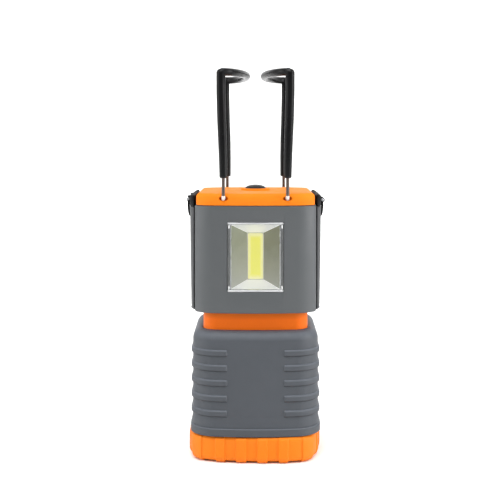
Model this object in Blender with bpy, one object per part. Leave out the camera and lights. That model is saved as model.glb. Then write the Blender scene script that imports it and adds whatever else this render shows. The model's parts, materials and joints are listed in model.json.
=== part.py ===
"""Battery LED lantern with folding bail handles.

Free-standing battery lantern: a base cap, a lower battery housing in a rubber
grip sleeve, a square lamp head with a lamp in each of its four faces (the two
side lamps are behind hinged doors with small latches), an orange top cap with a
power button, and two wire bail handles that fold down along the head.

Origin: centre of the base's underside. +Z is up, the front lamp faces -Y and
the right side is +X. Dimensions are in millimetres; meshes are in metres.
"""

import math

import bmesh
import bpy
from mathutils import Matrix, Vector

MM = 0.001
SHARP_ANGLE = 35.0     # degrees; steeper edges are shaded sharp
SIDES = ((-1, "left"), (1, "right"))

# ---------------------------------------------------------------- shared sizes
# Plan outline shared by the sleeve, neck, head and cap: a square with round
# corners, flat sides and slightly bowed front and back faces.
HALF_W = 44.2          # half width across the side faces
HALF_D = 45.0          # half depth across the front and back faces
CORNER_R = 19.5        # plan corner radius
BOW_R = 200.0          # radius of the bowed faces
FACE_STEPS = 2         # segments in half a bowed face
CORNER_STEPS = 4       # segments round a corner
GAP = 0.3              # clearance between neighbouring parts

HOUSING_LOW = 17.4     # foot of the housing's body and of the sleeve
NECK_TOP = 97.8
HEAD_LOW = NECK_TOP + GAP
HEAD_TOP = 168.5
SHELL_X = 40.1         # the shells end here, and the doors stand outside
SPIGOT_R = 27.0        # round spigot of the neck that enters the head
FLOOR_SCREW_X = 25.6   # screws between the neck and the head's floor
FLOOR_SCREW_Y = 25.2
FLOOR_HOLE_R = 1.5

WIN_Z = 135.1          # lamp window centre height
WIN_HW = 18.3          # window half width and half height
WIN_HH = 22.7

DOOR_AXIS_X = 41.95    # door hinge
DOOR_AXIS_Z = 100.0
DOOR_HOLE_R = 0.85
LUG_R = 1.15
LUG_Y = (22.6, 27.0)   # near and far faces of the hinge lugs

PIVOT_X = 20.95        # handle hinge axes
PIVOT_Z = 173.3

# ---------------------------------------------------------------- scene reset
for old in list(bpy.data.objects):
    bpy.data.objects.remove(old, do_unlink=True)


# ---------------------------------------------------------------- materials
def material(name, color, rough, metal=0.0, alpha=1.0):
    mat = bpy.data.materials.new(name)
    mat.use_nodes = True
    shader = mat.node_tree.nodes["Principled BSDF"]
    shader.inputs["Base Color"].default_value = (*color, 1.0)
    shader.inputs["Roughness"].default_value = rough
    shader.inputs["Metallic"].default_value = metal
    shader.inputs["Alpha"].default_value = alpha
    mat.diffuse_color = (*color, alpha)
    return mat


ORANGE = material("orange_plastic", color=(0.92, 0.27, 0.04), rough=0.45)
GREY = material("grey_plastic", color=(0.13, 0.14, 0.15), rough=0.55)
GRIP_GREY = material("grey_rubber", color=(0.10, 0.11, 0.13), rough=0.75)
BLACK = material("black_plastic", color=(0.02, 0.02, 0.022), rough=0.45)
RUBBER = material("black_rubber", color=(0.018, 0.018, 0.018), rough=0.6)
STEEL = material("wire_steel", color=(0.45, 0.43, 0.41), rough=0.3, metal=1.0)
ZINC = material("zinc_steel", color=(0.55, 0.56, 0.58), rough=0.35, metal=1.0)
ALU = material("aluminium", color=(0.7, 0.71, 0.73), rough=0.4, metal=1.0)
CLEAR = material("clear_lens", color=(0.95, 0.97, 0.98), rough=0.05, alpha=0.3)
CHROME = material("reflector_metal", color=(0.85, 0.86, 0.84), rough=0.15, metal=1.0)
COB = material("cob_phosphor", color=(0.9, 0.85, 0.2), rough=0.5)
BOARD = material("board_green", color=(0.03, 0.16, 0.06), rough=0.5)
CELL_WRAP = material("cell_wrap", color=(0.05, 0.10, 0.22), rough=0.35)
LEAD_RED = material("lead_red", color=(0.5, 0.03, 0.02), rough=0.5)
LEAD_BLACK = material("lead_black", color=(0.02, 0.02, 0.02), rough=0.5)


# ---------------------------------------------------------------- solids
def loft(name, loops, mat, closed=False):
    """Skins a list of equal-length point loops. closed joins the last loop to
    the first; otherwise both ends are filled."""
    n = len(loops[0])
    last = len(loops) - 1
    pairs = [(i, i + 1) for i in range(last)]
    if closed:
        pairs.append((last, 0))
    faces = []
    for a, b in pairs:
        for k in range(n):
            k2 = (k + 1) % n
            faces.append((a * n + k, a * n + k2, b * n + k2, b * n + k))
    if not closed:
        faces.append(tuple(range(n))[::-1])
        faces.append(tuple(last * n + k for k in range(n)))

    mesh = bpy.data.meshes.new(name)
    verts = [tuple(c * MM for c in point) for loop in loops for point in loop]
    mesh.from_pydata(verts, [], faces)
    bm = bmesh.new()
    bm.from_mesh(mesh)
    bmesh.ops.recalc_face_normals(bm, faces=bm.faces)
    bm.to_mesh(mesh)
    bm.free()
    mesh.shade_smooth()
    mesh.set_sharp_from_angle(angle=math.radians(SHARP_ANGLE))
    mesh.materials.append(mat)
    obj = bpy.data.objects.new(name, mesh)
    bpy.context.scene.collection.objects.link(obj)
    return obj


def circle(r, z, n, centre=(0.0, 0.0), start=0.0):
    angles = [start + 2 * math.pi * k / n for k in range(n)]
    return [(centre[0] + r * math.cos(a), centre[1] + r * math.sin(a), z) for a in angles]


def lathe(name, profile, mat, n, centre=(0.0, 0.0)):
    """Turns a profile of (radius, height) pairs about an upright axis."""
    return loft(name, [circle(r, z, n, centre) for r, z in profile], mat)


def ring_y(x, z, y, radius_x, radius_z, n):
    """Ellipse round an axis along Y."""
    angles = [2 * math.pi * k / n for k in range(n)]
    return [(x + radius_x * math.cos(a), y, z + radius_z * math.sin(a)) for a in angles]


def rod_y(name, x, z, span, r, mat, n=12):
    """Round rod along Y."""
    return loft(name, [ring_y(x, z, y, r, r, n) for y in span], mat)


def plan_rect(x0, x1, y0, y1, z):
    return [(x0, y0, z), (x1, y0, z), (x1, y1, z), (x0, y1, z)]


def box(name, x_span, y_span, z_span, mat):
    """Box between two values on each axis; x and y may come in either order."""
    return loft(name, [plan_rect(*sorted(x_span), *sorted(y_span), z) for z in z_span], mat)


def lug(name, sx, y_span, axis_x, axis_z, r, root_x, mat):
    """Ear round an axis along Y, with straight edges running inboard to root_x."""
    section = [(root_x, axis_z - r)]
    for k in range(9):
        a = -math.pi / 2 + math.pi * k / 8
        section.append((axis_x + r * math.cos(a), axis_z + r * math.sin(a)))
    section.append((root_x, axis_z + r))
    return loft(name, [[(sx * x, y, z) for x, z in section] for y in sorted(y_span)], mat)


def path_rings(path, radii, n):
    """Rings along a polyline, in rotation-minimising frames."""
    points = [Vector(p) for p in path]
    last = len(points) - 1
    tangents = [
        (points[min(i + 1, last)] - points[max(i - 1, 0)]).normalized()
        for i in range(len(points))
    ]
    ref = Vector((1, 0, 0)) if abs(tangents[0].x) < 0.9 else Vector((0, 0, 1))
    normal = (ref - tangents[0] * ref.dot(tangents[0])).normalized()
    rings = []
    for i, (point, tangent, r) in enumerate(zip(points, tangents, radii)):
        if i:
            normal = tangents[i - 1].rotation_difference(tangent) @ normal
            normal = (normal - tangent * normal.dot(tangent)).normalized()
        side = tangent.cross(normal).normalized()
        angles = [2 * math.pi * k / n for k in range(n)]
        rings.append([
            tuple(point + normal * (r * math.cos(a)) + side * (r * math.sin(a)))
            for a in angles
        ])
    return rings


def tube(name, path, r, mat, n):
    """Solid round wire along a path."""
    return loft(name, path_rings(path, [r] * len(path), n), mat)


# ---------------------------------------------------------------- modifiers and placing
def boolean(obj, other, operation):
    mod = obj.modifiers.new(operation.lower(), "BOOLEAN")
    mod.operation = operation
    mod.object = other
    mod.solver = "EXACT"
    other.hide_render = True
    other.display_type = "WIRE"


def cut(obj, other):
    boolean(obj, other, "DIFFERENCE")


def join(obj, other):
    boolean(obj, other, "UNION")


def set_origin(obj, x, y, z):
    """Moves an object's origin to a point in the world, in millimetres."""
    point = Vector((x, y, z)) * MM
    obj.data.transform(Matrix.Translation(-point))
    obj.location = point


def turn(obj, angle):
    """Turns an object's mesh about the lantern's upright axis."""
    obj.data.transform(Matrix.Rotation(math.radians(angle), 4, "Z"))


def mirror_y(obj):
    obj.data.transform(Matrix.Scale(-1.0, 4, Vector((0, 1, 0))))
    obj.data.flip_normals()


# ---------------------------------------------------------------- plan outline
def at_z(points, z):
    return [(x, y, z) for x, y in points]


def corner(inset=0.0, half_w=HALF_W):
    """Radius and centre of the front right corner of the outline moved in by inset."""
    r = CORNER_R - inset
    bow = BOW_R - inset
    centre_x = half_w - inset - r
    centre_angle = math.asin(centre_x / (bow - r))
    centre_y = bow - (HALF_D - inset) - (bow - r) * math.cos(centre_angle)
    return r, centre_x, centre_y


def corner_arc(r, centre_x, centre_y, start, end, steps):
    """Points round the front right corner, from start to end; 0 faces the front."""
    angles = [start + (end - start) * k / steps for k in range(steps + 1)]
    return [(centre_x + r * math.sin(a), centre_y - r * math.cos(a)) for a in angles]


def quarter_outline(inset, cut_x=None, marks=(), corner_steps=CORNER_STEPS):
    """Front right quarter, from the middle of the front face round the corner
    to the side, or to x = cut_x - inset. marks are x values on the front face
    that get a point of their own."""
    r, centre_x, centre_y = corner(inset)
    bow = BOW_R - inset
    bow_y = bow - (HALF_D - inset)
    start = math.asin(centre_x / (bow - r))
    face_end = bow * math.sin(start)
    xs = sorted({face_end * k / FACE_STEPS for k in range(FACE_STEPS + 1)} | set(marks))
    front = [(x, bow_y - math.sqrt(bow * bow - x * x)) for x in xs]
    end = math.pi / 2 if cut_x is None else math.asin((cut_x - inset - centre_x) / r)
    return front + corner_arc(r, centre_x, centre_y, start, end, corner_steps)[1:]


def full_outline(inset, cut_x=None, marks=()):
    """Whole plan outline, anticlockwise from the middle of the front face."""
    quarter = quarter_outline(inset, cut_x, marks)
    right = quarter + [(x, -y) for x, y in reversed(quarter)]
    left = [(-x, -y) for x, y in quarter[1:]] + [(-x, y) for x, y in reversed(quarter[1:])]
    return right + left


def outline_loops(stations, cut_x=None, marks=()):
    """Outlines at a list of (inset, z) stations."""
    return [at_z(full_outline(inset, cut_x, marks), z) for inset, z in stations]


RING_COUNT = len(full_outline(0.0))


def ring(r, z):
    """Circle that matches the plan outline point for point."""
    return circle(r, z, RING_COUNT, start=-math.pi / 2)


# ---------------------------------------------------------------- base
BASE_TOP = 17.0
BASE_TURN = -3.3       # the base stands this many degrees off square
BASE_HALF_W = 44.5     # the base is bowed on all four faces
BASE_FOOT = 3.0        # height of the rounded foot
BASE_FOOT_IN = 2.4     # how far the foot is drawn in at the ground
RECESS_DEPTH = 0.7
RECESS_HALF = 3.6
RECESS_PITCH = 14.2
OUTER_RECESS_X = 28.6
OUTER_RECESS_HALF = 4.9
# centre and half width of the upright recesses on a face
RECESSES = (
    (-OUTER_RECESS_X, OUTER_RECESS_HALF),
    (-RECESS_PITCH, RECESS_HALF),
    (0.0, RECESS_HALF),
    (RECESS_PITCH, RECESS_HALF),
    (OUTER_RECESS_X, OUTER_RECESS_HALF),
)
# radius and height of the stepped bore
BASE_BORE = ((37.6, 2.6), (37.6, 6.1), (40.3, 6.1), (40.3, BASE_TOP + 2.0))


def base_corner(inset=0.0):
    """Corner radius, bow radius, how far the front and side bow centres lie
    beyond the middle, and the corner centre. The corner arc touches both bows,
    so its centre is found by iteration."""
    r = CORNER_R - inset
    bow = BOW_R - inset
    front = bow - (HALF_D - inset)
    side = bow - (BASE_HALF_W - inset)
    centre_x, centre_y = 23.9, -23.9
    for _ in range(20):
        centre_x = math.sqrt((bow - r) ** 2 - centre_y * centre_y) - side
        centre_y = front - math.sqrt((bow - r) ** 2 - centre_x * centre_x)
    return r, bow, front, side, centre_x, centre_y


def base_outline(inset):
    """Plan outline of the base, anticlockwise from the middle of its front."""
    r, bow, front, side, centre_x, centre_y = base_corner(inset)
    front_angle = math.asin(centre_x / (bow - r))
    side_angle = math.asin(-centre_y / (bow - r))
    quarter = []
    for k in range(FACE_STEPS + 1):
        a = front_angle * k / FACE_STEPS
        quarter.append((bow * math.sin(a), front - bow * math.cos(a)))
    arc_end = math.pi / 2 - side_angle
    quarter += corner_arc(r, centre_x, centre_y, front_angle, arc_end, CORNER_STEPS)[1:]
    for k in range(1, FACE_STEPS + 1):
        a = side_angle * (1 - k / FACE_STEPS)
        quarter.append((bow * math.cos(a) - side, -bow * math.sin(a)))
    right = quarter + [(x, -y) for x, y in quarter[:-1][::-1]]
    left = [(-x, -y) for x, y in quarter[1:]] + [(-x, y) for x, y in quarter[1:-1][::-1]]
    return right + left


def base_sag(x):
    """Drop of a bowed base face at x below its middle, corners included."""
    r, bow, _, _, centre_x, centre_y = base_corner()
    if abs(x) <= bow * centre_x / (bow - r):
        return bow - math.sqrt(bow * bow - x * x)
    return HALF_D + centre_y - math.sqrt(r * r - (abs(x) - centre_x) ** 2)


def foot_inset(z):
    drop = (BASE_FOOT - z) / BASE_FOOT
    return BASE_FOOT_IN * (1.0 - math.sqrt(1.0 - drop * drop))


def make_base():
    stations = [(foot_inset(z), z) for z in (0.0, 0.3, 1.0, BASE_FOOT)]
    stations += [(0.0, BASE_TOP - 2.4), (0.7, BASE_TOP - 0.7), (2.4, BASE_TOP)]
    loops = [at_z(base_outline(inset), z) for inset, z in stations]
    base = loft("base_cap", loops, ORANGE)
    # the recesses leave the grip ribs between them, on all four faces
    for face in range(4):
        reach = HALF_D if face % 2 == 0 else BASE_HALF_W
        for k, (centre, half) in enumerate(RECESSES):
            surface = -(reach - base_sag(centre))
            gap = box(
                "rib_gap_%02d" % (face * len(RECESSES) + k),
                (centre - half, centre + half),
                (surface - 6.0, surface + RECESS_DEPTH),
                (-1.0, BASE_TOP + 1.0),
                ORANGE,
            )
            turn(gap, 90.0 * face)
            gap.parent = base
            cut(base, gap)
    bore = lathe("base_bore_low", BASE_BORE, ORANGE, 28)
    bore.parent = base
    cut(base, bore)
    base.rotation_euler.z = math.radians(BASE_TURN)


def make_base_fittings():
    lathe("base_contact_plate", [(37.0, 2.9), (37.0, 4.1)], ZINC, 28)
    section = ((40.0, 6.4), (40.0, 7.7), (38.0, 7.7), (38.0, 6.4))  # radius, height
    loft("base_seal", [circle(r, z, 28) for r, z in section], RUBBER, closed=True)


# ---------------------------------------------------------------- batteries
CELL_R = 17.1          # D cell
CELL_RING_R = 19.95    # cell axes stand on this circle
CELL_LOW = 12.3
CELL_TOP = CELL_LOW + 60.0
CELL_NUB = 1.5
# radius and height of a cell
CELL_PROFILE = (
    (CELL_R - 1.2, CELL_LOW), (CELL_R, CELL_LOW + 1.0),
    (CELL_R, CELL_TOP - 1.2), (CELL_R - 1.2, CELL_TOP),
    (4.9, CELL_TOP), (4.75, CELL_TOP + CELL_NUB),
)
SPRING_TURNS = 3
SPRING_STEPS = 8       # path segments in a turn
SPRING_R_LOW = 7.5
SPRING_TAPER = 3.0     # the coil narrows by this much going up
SPRING_LOW = 4.95
SPRING_HEIGHT = 6.5
SPRING_WIRE_R = 0.45


def make_spring(name, centre):
    count = SPRING_TURNS * SPRING_STEPS
    path = []
    for k in range(count + 1):
        t = k / count
        a = 2 * math.pi * SPRING_TURNS * t
        r = SPRING_R_LOW - SPRING_TAPER * t
        z = SPRING_LOW + SPRING_HEIGHT * t
        path.append((centre[0] + r * math.cos(a), centre[1] + r * math.sin(a), z))
    tube(name, path, SPRING_WIRE_R, ZINC, 4)


def make_batteries():
    for i in range(3):
        a = math.radians(90.0 + 120.0 * i)
        centre = (CELL_RING_R * math.cos(a), CELL_RING_R * math.sin(a))
        lathe("battery_cell_%d" % (i + 1), CELL_PROFILE, CELL_WRAP, 20, centre)
        make_spring("base_spring_%d" % (i + 1), centre)


# ---------------------------------------------------------------- lower housing
SKIRT_R = 39.9         # round skirt of the housing that enters the base
SKIRT_LOW = 8.0
BORE_R = 37.4          # battery bore
HOUSING_SET = 4.7      # set-back of the body from the plan outline
HOUSING_TOP = 78.4
HOUSING_CHAMFER = 0.9
DECK_UNDER = 75.8
DECK_HOLE_R = 6.0


def make_housing():
    body = (
        (HOUSING_SET, HOUSING_LOW),
        (HOUSING_SET, HOUSING_TOP - HOUSING_CHAMFER),
        (HOUSING_SET + HOUSING_CHAMFER, HOUSING_TOP),
    )
    loops = [ring(SKIRT_R, SKIRT_LOW), ring(SKIRT_R, HOUSING_LOW)]
    loops += outline_loops(body)
    loops += [
        ring(DECK_HOLE_R, HOUSING_TOP),
        ring(DECK_HOLE_R, DECK_UNDER),
        ring(BORE_R, DECK_UNDER),
        ring(BORE_R, SKIRT_LOW),
    ]
    loft("lower_housing", loops, BLACK, closed=True)
    lathe("top_contact_board", [(36.6, 74.1), (36.6, 75.5)], BOARD, 26)


# ---------------------------------------------------------------- grip sleeve
SLEEVE_SET = 2.2       # sleeve body's set-back from the plan outline
FLANGE_SET = 0.8
SLEEVE_SHOULDER = 79.0
SLEEVE_TOP = 86.0
SHOULDER_IN = 6.5      # reach of the shoulder's elliptical round
BAR_Z = (32.6, 42.4, 52.6, 62.4, 72.2)
BAR_OUT = 0.9          # height of the grip bars above the sleeve
BAR_HALF = 2.05
BAR_SLOPE = 0.9        # width of a bar's sloping edge
BAR_INNER_X = 18.6     # where the bars end on the front and back
SLEEVE_MARKS = (BAR_INNER_X, BAR_INNER_X + BAR_SLOPE)
# set-back and height down the inside
SLEEVE_INSIDE = (
    (8.9, SLEEVE_TOP), (8.9, 83.5), (7.0, 83.5),
    (7.0, 79.6), (4.4, 78.8), (4.4, HOUSING_LOW),
)


def sleeve_loop(z, inset, rise):
    """Outside section of the sleeve, raised by rise beyond BAR_INNER_X."""
    flat = full_outline(inset, marks=SLEEVE_MARKS)
    raised = full_outline(inset - rise, marks=SLEEVE_MARKS)
    points = [
        high if abs(low[0]) > BAR_INNER_X + 0.5 else low
        for low, high in zip(flat, raised)
    ]
    return at_z(points, z)


def make_sleeve():
    # height, set-back and bar rise up the outside
    stations = [(HOUSING_LOW, FLANGE_SET, 0.0), (22.0, FLANGE_SET, 0.0), (23.4, SLEEVE_SET, 0.0)]
    for z in BAR_Z:
        stations += [
            (z - BAR_HALF, SLEEVE_SET, 0.0),
            (z - BAR_HALF + BAR_SLOPE, SLEEVE_SET, BAR_OUT),
            (z + BAR_HALF - BAR_SLOPE, SLEEVE_SET, BAR_OUT),
            (z + BAR_HALF, SLEEVE_SET, 0.0),
        ]
    height = SLEEVE_TOP - SLEEVE_SHOULDER
    for up in (0.0, 2.6, 4.6, 6.1, height - 0.25):
        s = up / height
        inset = SLEEVE_SET + SHOULDER_IN * (1.0 - math.sqrt(1.0 - s * s))
        stations.append((SLEEVE_SHOULDER + up, inset, 0.0))
    outside = [sleeve_loop(*station) for station in stations]
    inside = outline_loops(SLEEVE_INSIDE, marks=SLEEVE_MARKS)
    loft("grip_sleeve", outside + inside, GRIP_GREY, closed=True)


# ---------------------------------------------------------------- neck
NECK_SET = 9.2
NECK_FLANGE_SET = 7.3
NECK_LOW = 78.8
NECK_STEP = 83.1       # top of the flange
SPIGOT_TOP = 102.5
NECK_BORE_R = 23.0
# radius and height of a neck screw, from its tip
NECK_SCREW = ((0.6, 88.0), (1.15, 89.2), (1.15, 100.65), (2.5, 100.65), (2.5, 101.6), (1.7, 102.2))


def make_neck():
    loops = outline_loops((
        (NECK_FLANGE_SET, NECK_LOW), (NECK_FLANGE_SET, NECK_STEP),
        (NECK_SET, NECK_STEP), (NECK_SET, NECK_TOP),
    ))
    loops += [
        ring(SPIGOT_R, NECK_TOP),
        ring(SPIGOT_R, SPIGOT_TOP),
        ring(NECK_BORE_R, SPIGOT_TOP),
        ring(NECK_BORE_R, NECK_LOW),
    ]
    neck = loft("neck_collar", loops, ORANGE, closed=True)
    for i, (sx, sy) in enumerate(((1, -1), (1, 1), (-1, 1), (-1, -1)), start=1):
        centre = (sx * FLOOR_SCREW_X, sy * FLOOR_SCREW_Y)
        hole_profile = [(FLOOR_HOLE_R, 87.0), (FLOOR_HOLE_R, 104.0)]
        cut(neck, lathe("neck_screw_hole_%d" % i, hole_profile, ORANGE, 12, centre))
        lathe("neck_screw_%d" % i, NECK_SCREW, ZINC, 12, centre)


# ---------------------------------------------------------------- head shells
WALL = 2.2
SHELL_END_Y = -0.15    # the front shell stops just short of the middle
LUG_ROOT_X = 38.6
# inset and height of the outside
SHELL_STATIONS = ((1.3, HEAD_LOW), (0.5, HEAD_LOW + 0.35), (0.0, HEAD_LOW + 1.2), (0.0, HEAD_TOP))
REAR_SCREWS = ((27.0, 107.0), (-27.0, 107.0), (27.0, 163.4), (-27.0, 163.4))  # x, z
# name, y span and radius of the rods at each rear screw: the first is added,
# the rest are cut. The rear ones are drawn in the front and mirrored.
FRONT_RODS = (
    ("front_post_%d", (-42.0, 28.0), 3.0),
    ("front_post_bore_%d", (14.0, 30.0), 1.3),
)
REAR_RODS = (
    ("rear_boss_%d", (-42.2, -28.4), 3.4),
    ("rear_boss_bore_%d", (-46.0, -27.0), 1.5),
    ("rear_counterbore_%d", (-48.0, -41.2), 2.9),
)
# y and radius of a rear screw, from its tip
REAR_SCREW = ((16.0, 0.5), (17.5, 0.95), (41.5, 0.95), (41.5, 2.55), (42.3, 2.55), (42.8, 1.8))


def half_outline(inset, end_y):
    """Front half of the head's plan section, closed along y = end_y."""
    right = quarter_outline(inset, SHELL_X, corner_steps=3) + [(SHELL_X - inset, end_y)]
    return [(-x, y) for x, y in reversed(right[1:])] + right


def make_shell(tag, rods):
    """One half of the head, drawn as the front; the rear one is mirrored."""
    loops = [at_z(half_outline(inset, SHELL_END_Y), z) for inset, z in SHELL_STATIONS]
    shell = loft("head_%s_shell" % tag, loops, GREY)
    hollow_loops = [at_z(half_outline(WALL, 2.0), z) for z in (HEAD_LOW + WALL, HEAD_TOP + 2.0)]
    hollow = loft(tag + "_hollow", hollow_loops, GREY)
    mouth_r = SPIGOT_R + 0.4
    mouth_profile = [(mouth_r, HEAD_LOW - 2.0), (mouth_r, HEAD_LOW + 4.0)]
    mouth = lathe(tag + "_spigot_hole", mouth_profile, GREY, RING_COUNT)

    half_w = WIN_HW + GAP
    window_z = (WIN_Z - WIN_HH - GAP, WIN_Z + WIN_HH + GAP)
    added = []
    removed = [
        box(tag + "_window", (-half_w, half_w), (-52.0, -36.0), window_z, GREY),
        box(tag + "_side_windows", (-52.0, 52.0), (-half_w, 2.0), window_z, GREY),
    ]
    hole_profile = [(FLOOR_HOLE_R, HEAD_LOW - 2), (FLOOR_HOLE_R, HEAD_LOW + 4)]
    near, far = LUG_Y
    for sx, side in SIDES:
        added.append(lug(
            "%s_lug_%s" % (tag, side), sx, (-far, -near),
            DOOR_AXIS_X, DOOR_AXIS_Z, LUG_R, LUG_ROOT_X, GREY,
        ))
        removed.append(rod_y(
            "%s_lug_bore_%s" % (tag, side), sx * DOOR_AXIS_X, DOOR_AXIS_Z,
            (-far - 1, -near + 1), DOOR_HOLE_R, GREY,
        ))
        removed.append(lathe(
            "%s_floor_hole_%s" % (tag, side), hole_profile, GREY, 12,
            (sx * FLOOR_SCREW_X, -FLOOR_SCREW_Y),
        ))
    for k, (x, z) in enumerate(REAR_SCREWS):
        solid, *bores = [rod_y(name % k, x, z, span, r, GREY) for name, span, r in rods]
        added.append(solid)
        removed += bores

    # hollow out first, so that the lugs and posts stay inside the shell
    if tag == "rear":
        for obj in [shell, hollow, mouth] + added + removed:
            mirror_y(obj)
    cut(shell, hollow)
    cut(shell, mouth)
    for obj in added:
        join(shell, obj)
    for obj in removed:
        cut(shell, obj)


def make_rear_screws():
    for k, (x, z) in enumerate(REAR_SCREWS, start=1):
        loops = [ring_y(x, z, y, r, r, 10) for y, r in REAR_SCREW]
        loft("rear_screw_%d" % k, loops, ZINC)


# ---------------------------------------------------------------- lamps
FRONT_LENS_OUT = 44.6  # outer face of the front and rear lenses from the middle
LAMP_DEPTH = 7.4       # from the lens's outer face in to the reflector's foot
COB_HW = 4.95          # chip-on-board strip
COB_HH = 15.0
COB_BACK = LAMP_DEPTH + 1.9    # back of the strip's board
# Half width, half height and depth in from the lens's outer face.
LENS_RINGS = (
    (WIN_HW - 0.5, WIN_HH - 0.5, 0.0),
    (WIN_HW, WIN_HH, 0.4),
    (WIN_HW, WIN_HH, 1.2),
)
REFLECTOR_RINGS = (
    (WIN_HW, WIN_HH, 1.5),
    (WIN_HW, WIN_HH, 3.3),
    (WIN_HW + 2.2, WIN_HH + 2.2, 3.3),
    (WIN_HW + 2.2, WIN_HH + 2.2, 4.2),
    (WIN_HW - 1.2, WIN_HH - 1.2, 4.2),
    (COB_HW + 1.6, COB_HH + 1.6, LAMP_DEPTH),
    (COB_HW + 0.7, COB_HH + 0.7, LAMP_DEPTH),
    (WIN_HW - 0.9, WIN_HH - 0.9, 1.5),
)
COB_RINGS = (
    (COB_HW, COB_HH, LAMP_DEPTH - 0.7),
    (COB_HW, COB_HH, LAMP_DEPTH + 0.3),
    (8.0, 19.0, LAMP_DEPTH + 0.3),
    (8.0, 19.0, COB_BACK),
)


def window_rect(half_w, half_h, y):
    low, high = WIN_Z - half_h, WIN_Z + half_h
    return [(-half_w, y, low), (half_w, y, low), (half_w, y, high), (-half_w, y, high)]


def make_lamp(side, angle, lens_out):
    """Lens, tapered reflector and strip, drawn at the front, turned to a face."""
    for part, rings, mat, closed in (
        ("_lens", LENS_RINGS, CLEAR, False),
        ("_reflector", REFLECTOR_RINGS, CHROME, True),
        ("_cob", COB_RINGS, COB, False),
    ):
        loops = [window_rect(half_w, half_h, depth - lens_out) for half_w, half_h, depth in rings]
        turn(loft(side + part, loops, mat, closed), angle)


def make_lamps():
    make_lamp("front", 0.0, FRONT_LENS_OUT)
    make_lamp("right", 90.0, SHELL_X)
    make_lamp("rear", 180.0, FRONT_LENS_OUT)
    make_lamp("left", 270.0, SHELL_X)


# ---------------------------------------------------------------- inside the head
SINK_HW = SHELL_X - COB_BACK - GAP
SINK_HD = FRONT_LENS_OUT - COB_BACK - GAP
SINK_WALL = 2.0
SINK_LOW = 112.0
SINK_TOP = 158.0
DRIVER_LOW = SINK_TOP + GAP
DRIVER_TOP = DRIVER_LOW + 1.6
SWITCH_LOW = DRIVER_TOP + GAP
# centreline of the positive lead; the negative one is its mirror in x
LEAD_PATH = (
    (2.5, 0, 75.9), (2.5, 0, 92.0), (4.0, 3.0, 104.0),
    (9.0, 9.0, 118.0), (11.0, 12.0, 132.0), (11.0, 12.0, 157.9),
)


def make_head_internals():
    loops = []
    for inset, z in ((0.0, SINK_LOW), (0.0, SINK_TOP), (SINK_WALL, SINK_TOP), (SINK_WALL, SINK_LOW)):
        half_w, half_d = SINK_HW - inset, SINK_HD - inset
        loops.append(plan_rect(-half_w, half_w, -half_d, half_d, z))
    loft("heat_sink_frame", loops, ALU, closed=True)
    box("driver_board", (-23.0, 23.0), (-27.0, 27.0), (DRIVER_LOW, DRIVER_TOP), BOARD)

    switch_z = (SWITCH_LOW, SWITCH_LOW + 2.5)
    switch = box("power_switch", (-4.0, 4.0), (-4.0, 4.0), switch_z, BLACK)
    bevel = switch.modifiers.new("edge", "BEVEL")
    bevel.width = 0.4 * MM
    bevel.segments = 1

    for sx, mat, tag in ((-1, LEAD_BLACK, "negative"), (1, LEAD_RED, "positive")):
        path = [(sx * x, y, z) for x, y, z in LEAD_PATH]
        tube("battery_lead_" + tag, path, 0.8, mat, 6)


# ---------------------------------------------------------------- top cap
CAP_LOW = HEAD_TOP + GAP
CAP_TOP = 176.7
CAP_X = 39.2           # the cap's corners are cut off flat here
CAP_ROOF = 175.0       # underside of the roof
CAP_WALL = 2.0
COLLAR_R = 10.1
COLLAR_TOP = 178.1
COLLAR_CHAMFER = 0.5
BUTTON_R = 7.2
BUTTON_SEAT = 172.0
# inset and height of the outside
CAP_STATIONS = (
    (0.0, CAP_LOW), (0.0, CAP_TOP - 2.6), (0.45, CAP_TOP - 1.1),
    (1.15, CAP_TOP - 0.4), (2.6, CAP_TOP),
)
# radius and height of the button with its stem and flange
BUTTON_PROFILE = (
    (2.0, 164.2), (2.0, 170.5), (9.0, 170.5), (9.0, BUTTON_SEAT), (BUTTON_R, BUTTON_SEAT),
    (BUTTON_R, 177.9), (6.8, 178.9), (5.8, 179.7), (4.2, 180.25), (2.1, 180.6),
)


def cut_handle_pivots(cap, sx, side):
    """Holes for the wires' ends, with an oval recess at each outer face."""
    x = sx * PIVOT_X
    cut(cap, rod_y("pivot_hole_" + side, x, PIVOT_Z, (-50.0, 50.0), 1.5, ORANGE))
    for sy in (-1, 1):
        oval = [ring_y(x, PIVOT_Z, sy * y, 2.6, 1.6, 12) for y in (41.6, 46.5)]
        cut(cap, loft("pivot_recess_%s_%d" % (side, sy), oval, ORANGE))


def make_cap():
    cap = loft("top_cap", outline_loops(CAP_STATIONS, CAP_X), ORANGE)
    collar_profile = (
        (COLLAR_R, CAP_ROOF + 0.4),
        (COLLAR_R, COLLAR_TOP - COLLAR_CHAMFER),
        (COLLAR_R - COLLAR_CHAMFER, COLLAR_TOP),
    )
    join(cap, lathe("button_collar", collar_profile, ORANGE, 22))
    hollow_loops = outline_loops(((CAP_WALL, CAP_LOW - 2.0), (CAP_WALL, CAP_ROOF)), CAP_X)
    cut(cap, loft("cap_hollow", hollow_loops, ORANGE))
    # blocks under the roof that carry the ends of the handle wires
    for sx in (-1, 1):
        for sy in (-1, 1):
            join(cap, box(
                "pivot_block_%d_%d" % (sx, sy),
                (sx * (PIVOT_X - 3.0), sx * (PIVOT_X + 3.0)),
                (sy * 38.2, sy * 42.6),
                (PIVOT_Z - 2.6, CAP_ROOF + 0.5),
                ORANGE,
            ))
    hole_r = BUTTON_R + 0.4
    hole_profile = [(hole_r, CAP_LOW), (hole_r, COLLAR_TOP + 2.0)]
    cut(cap, lathe("button_hole", hole_profile, ORANGE, 22))
    for sx, side in SIDES:
        cut_handle_pivots(cap, sx, side)


def make_button():
    button = lathe("power_button", BUTTON_PROFILE, BLACK, 20)
    set_origin(button, 0, 0, BUTTON_SEAT)


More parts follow.
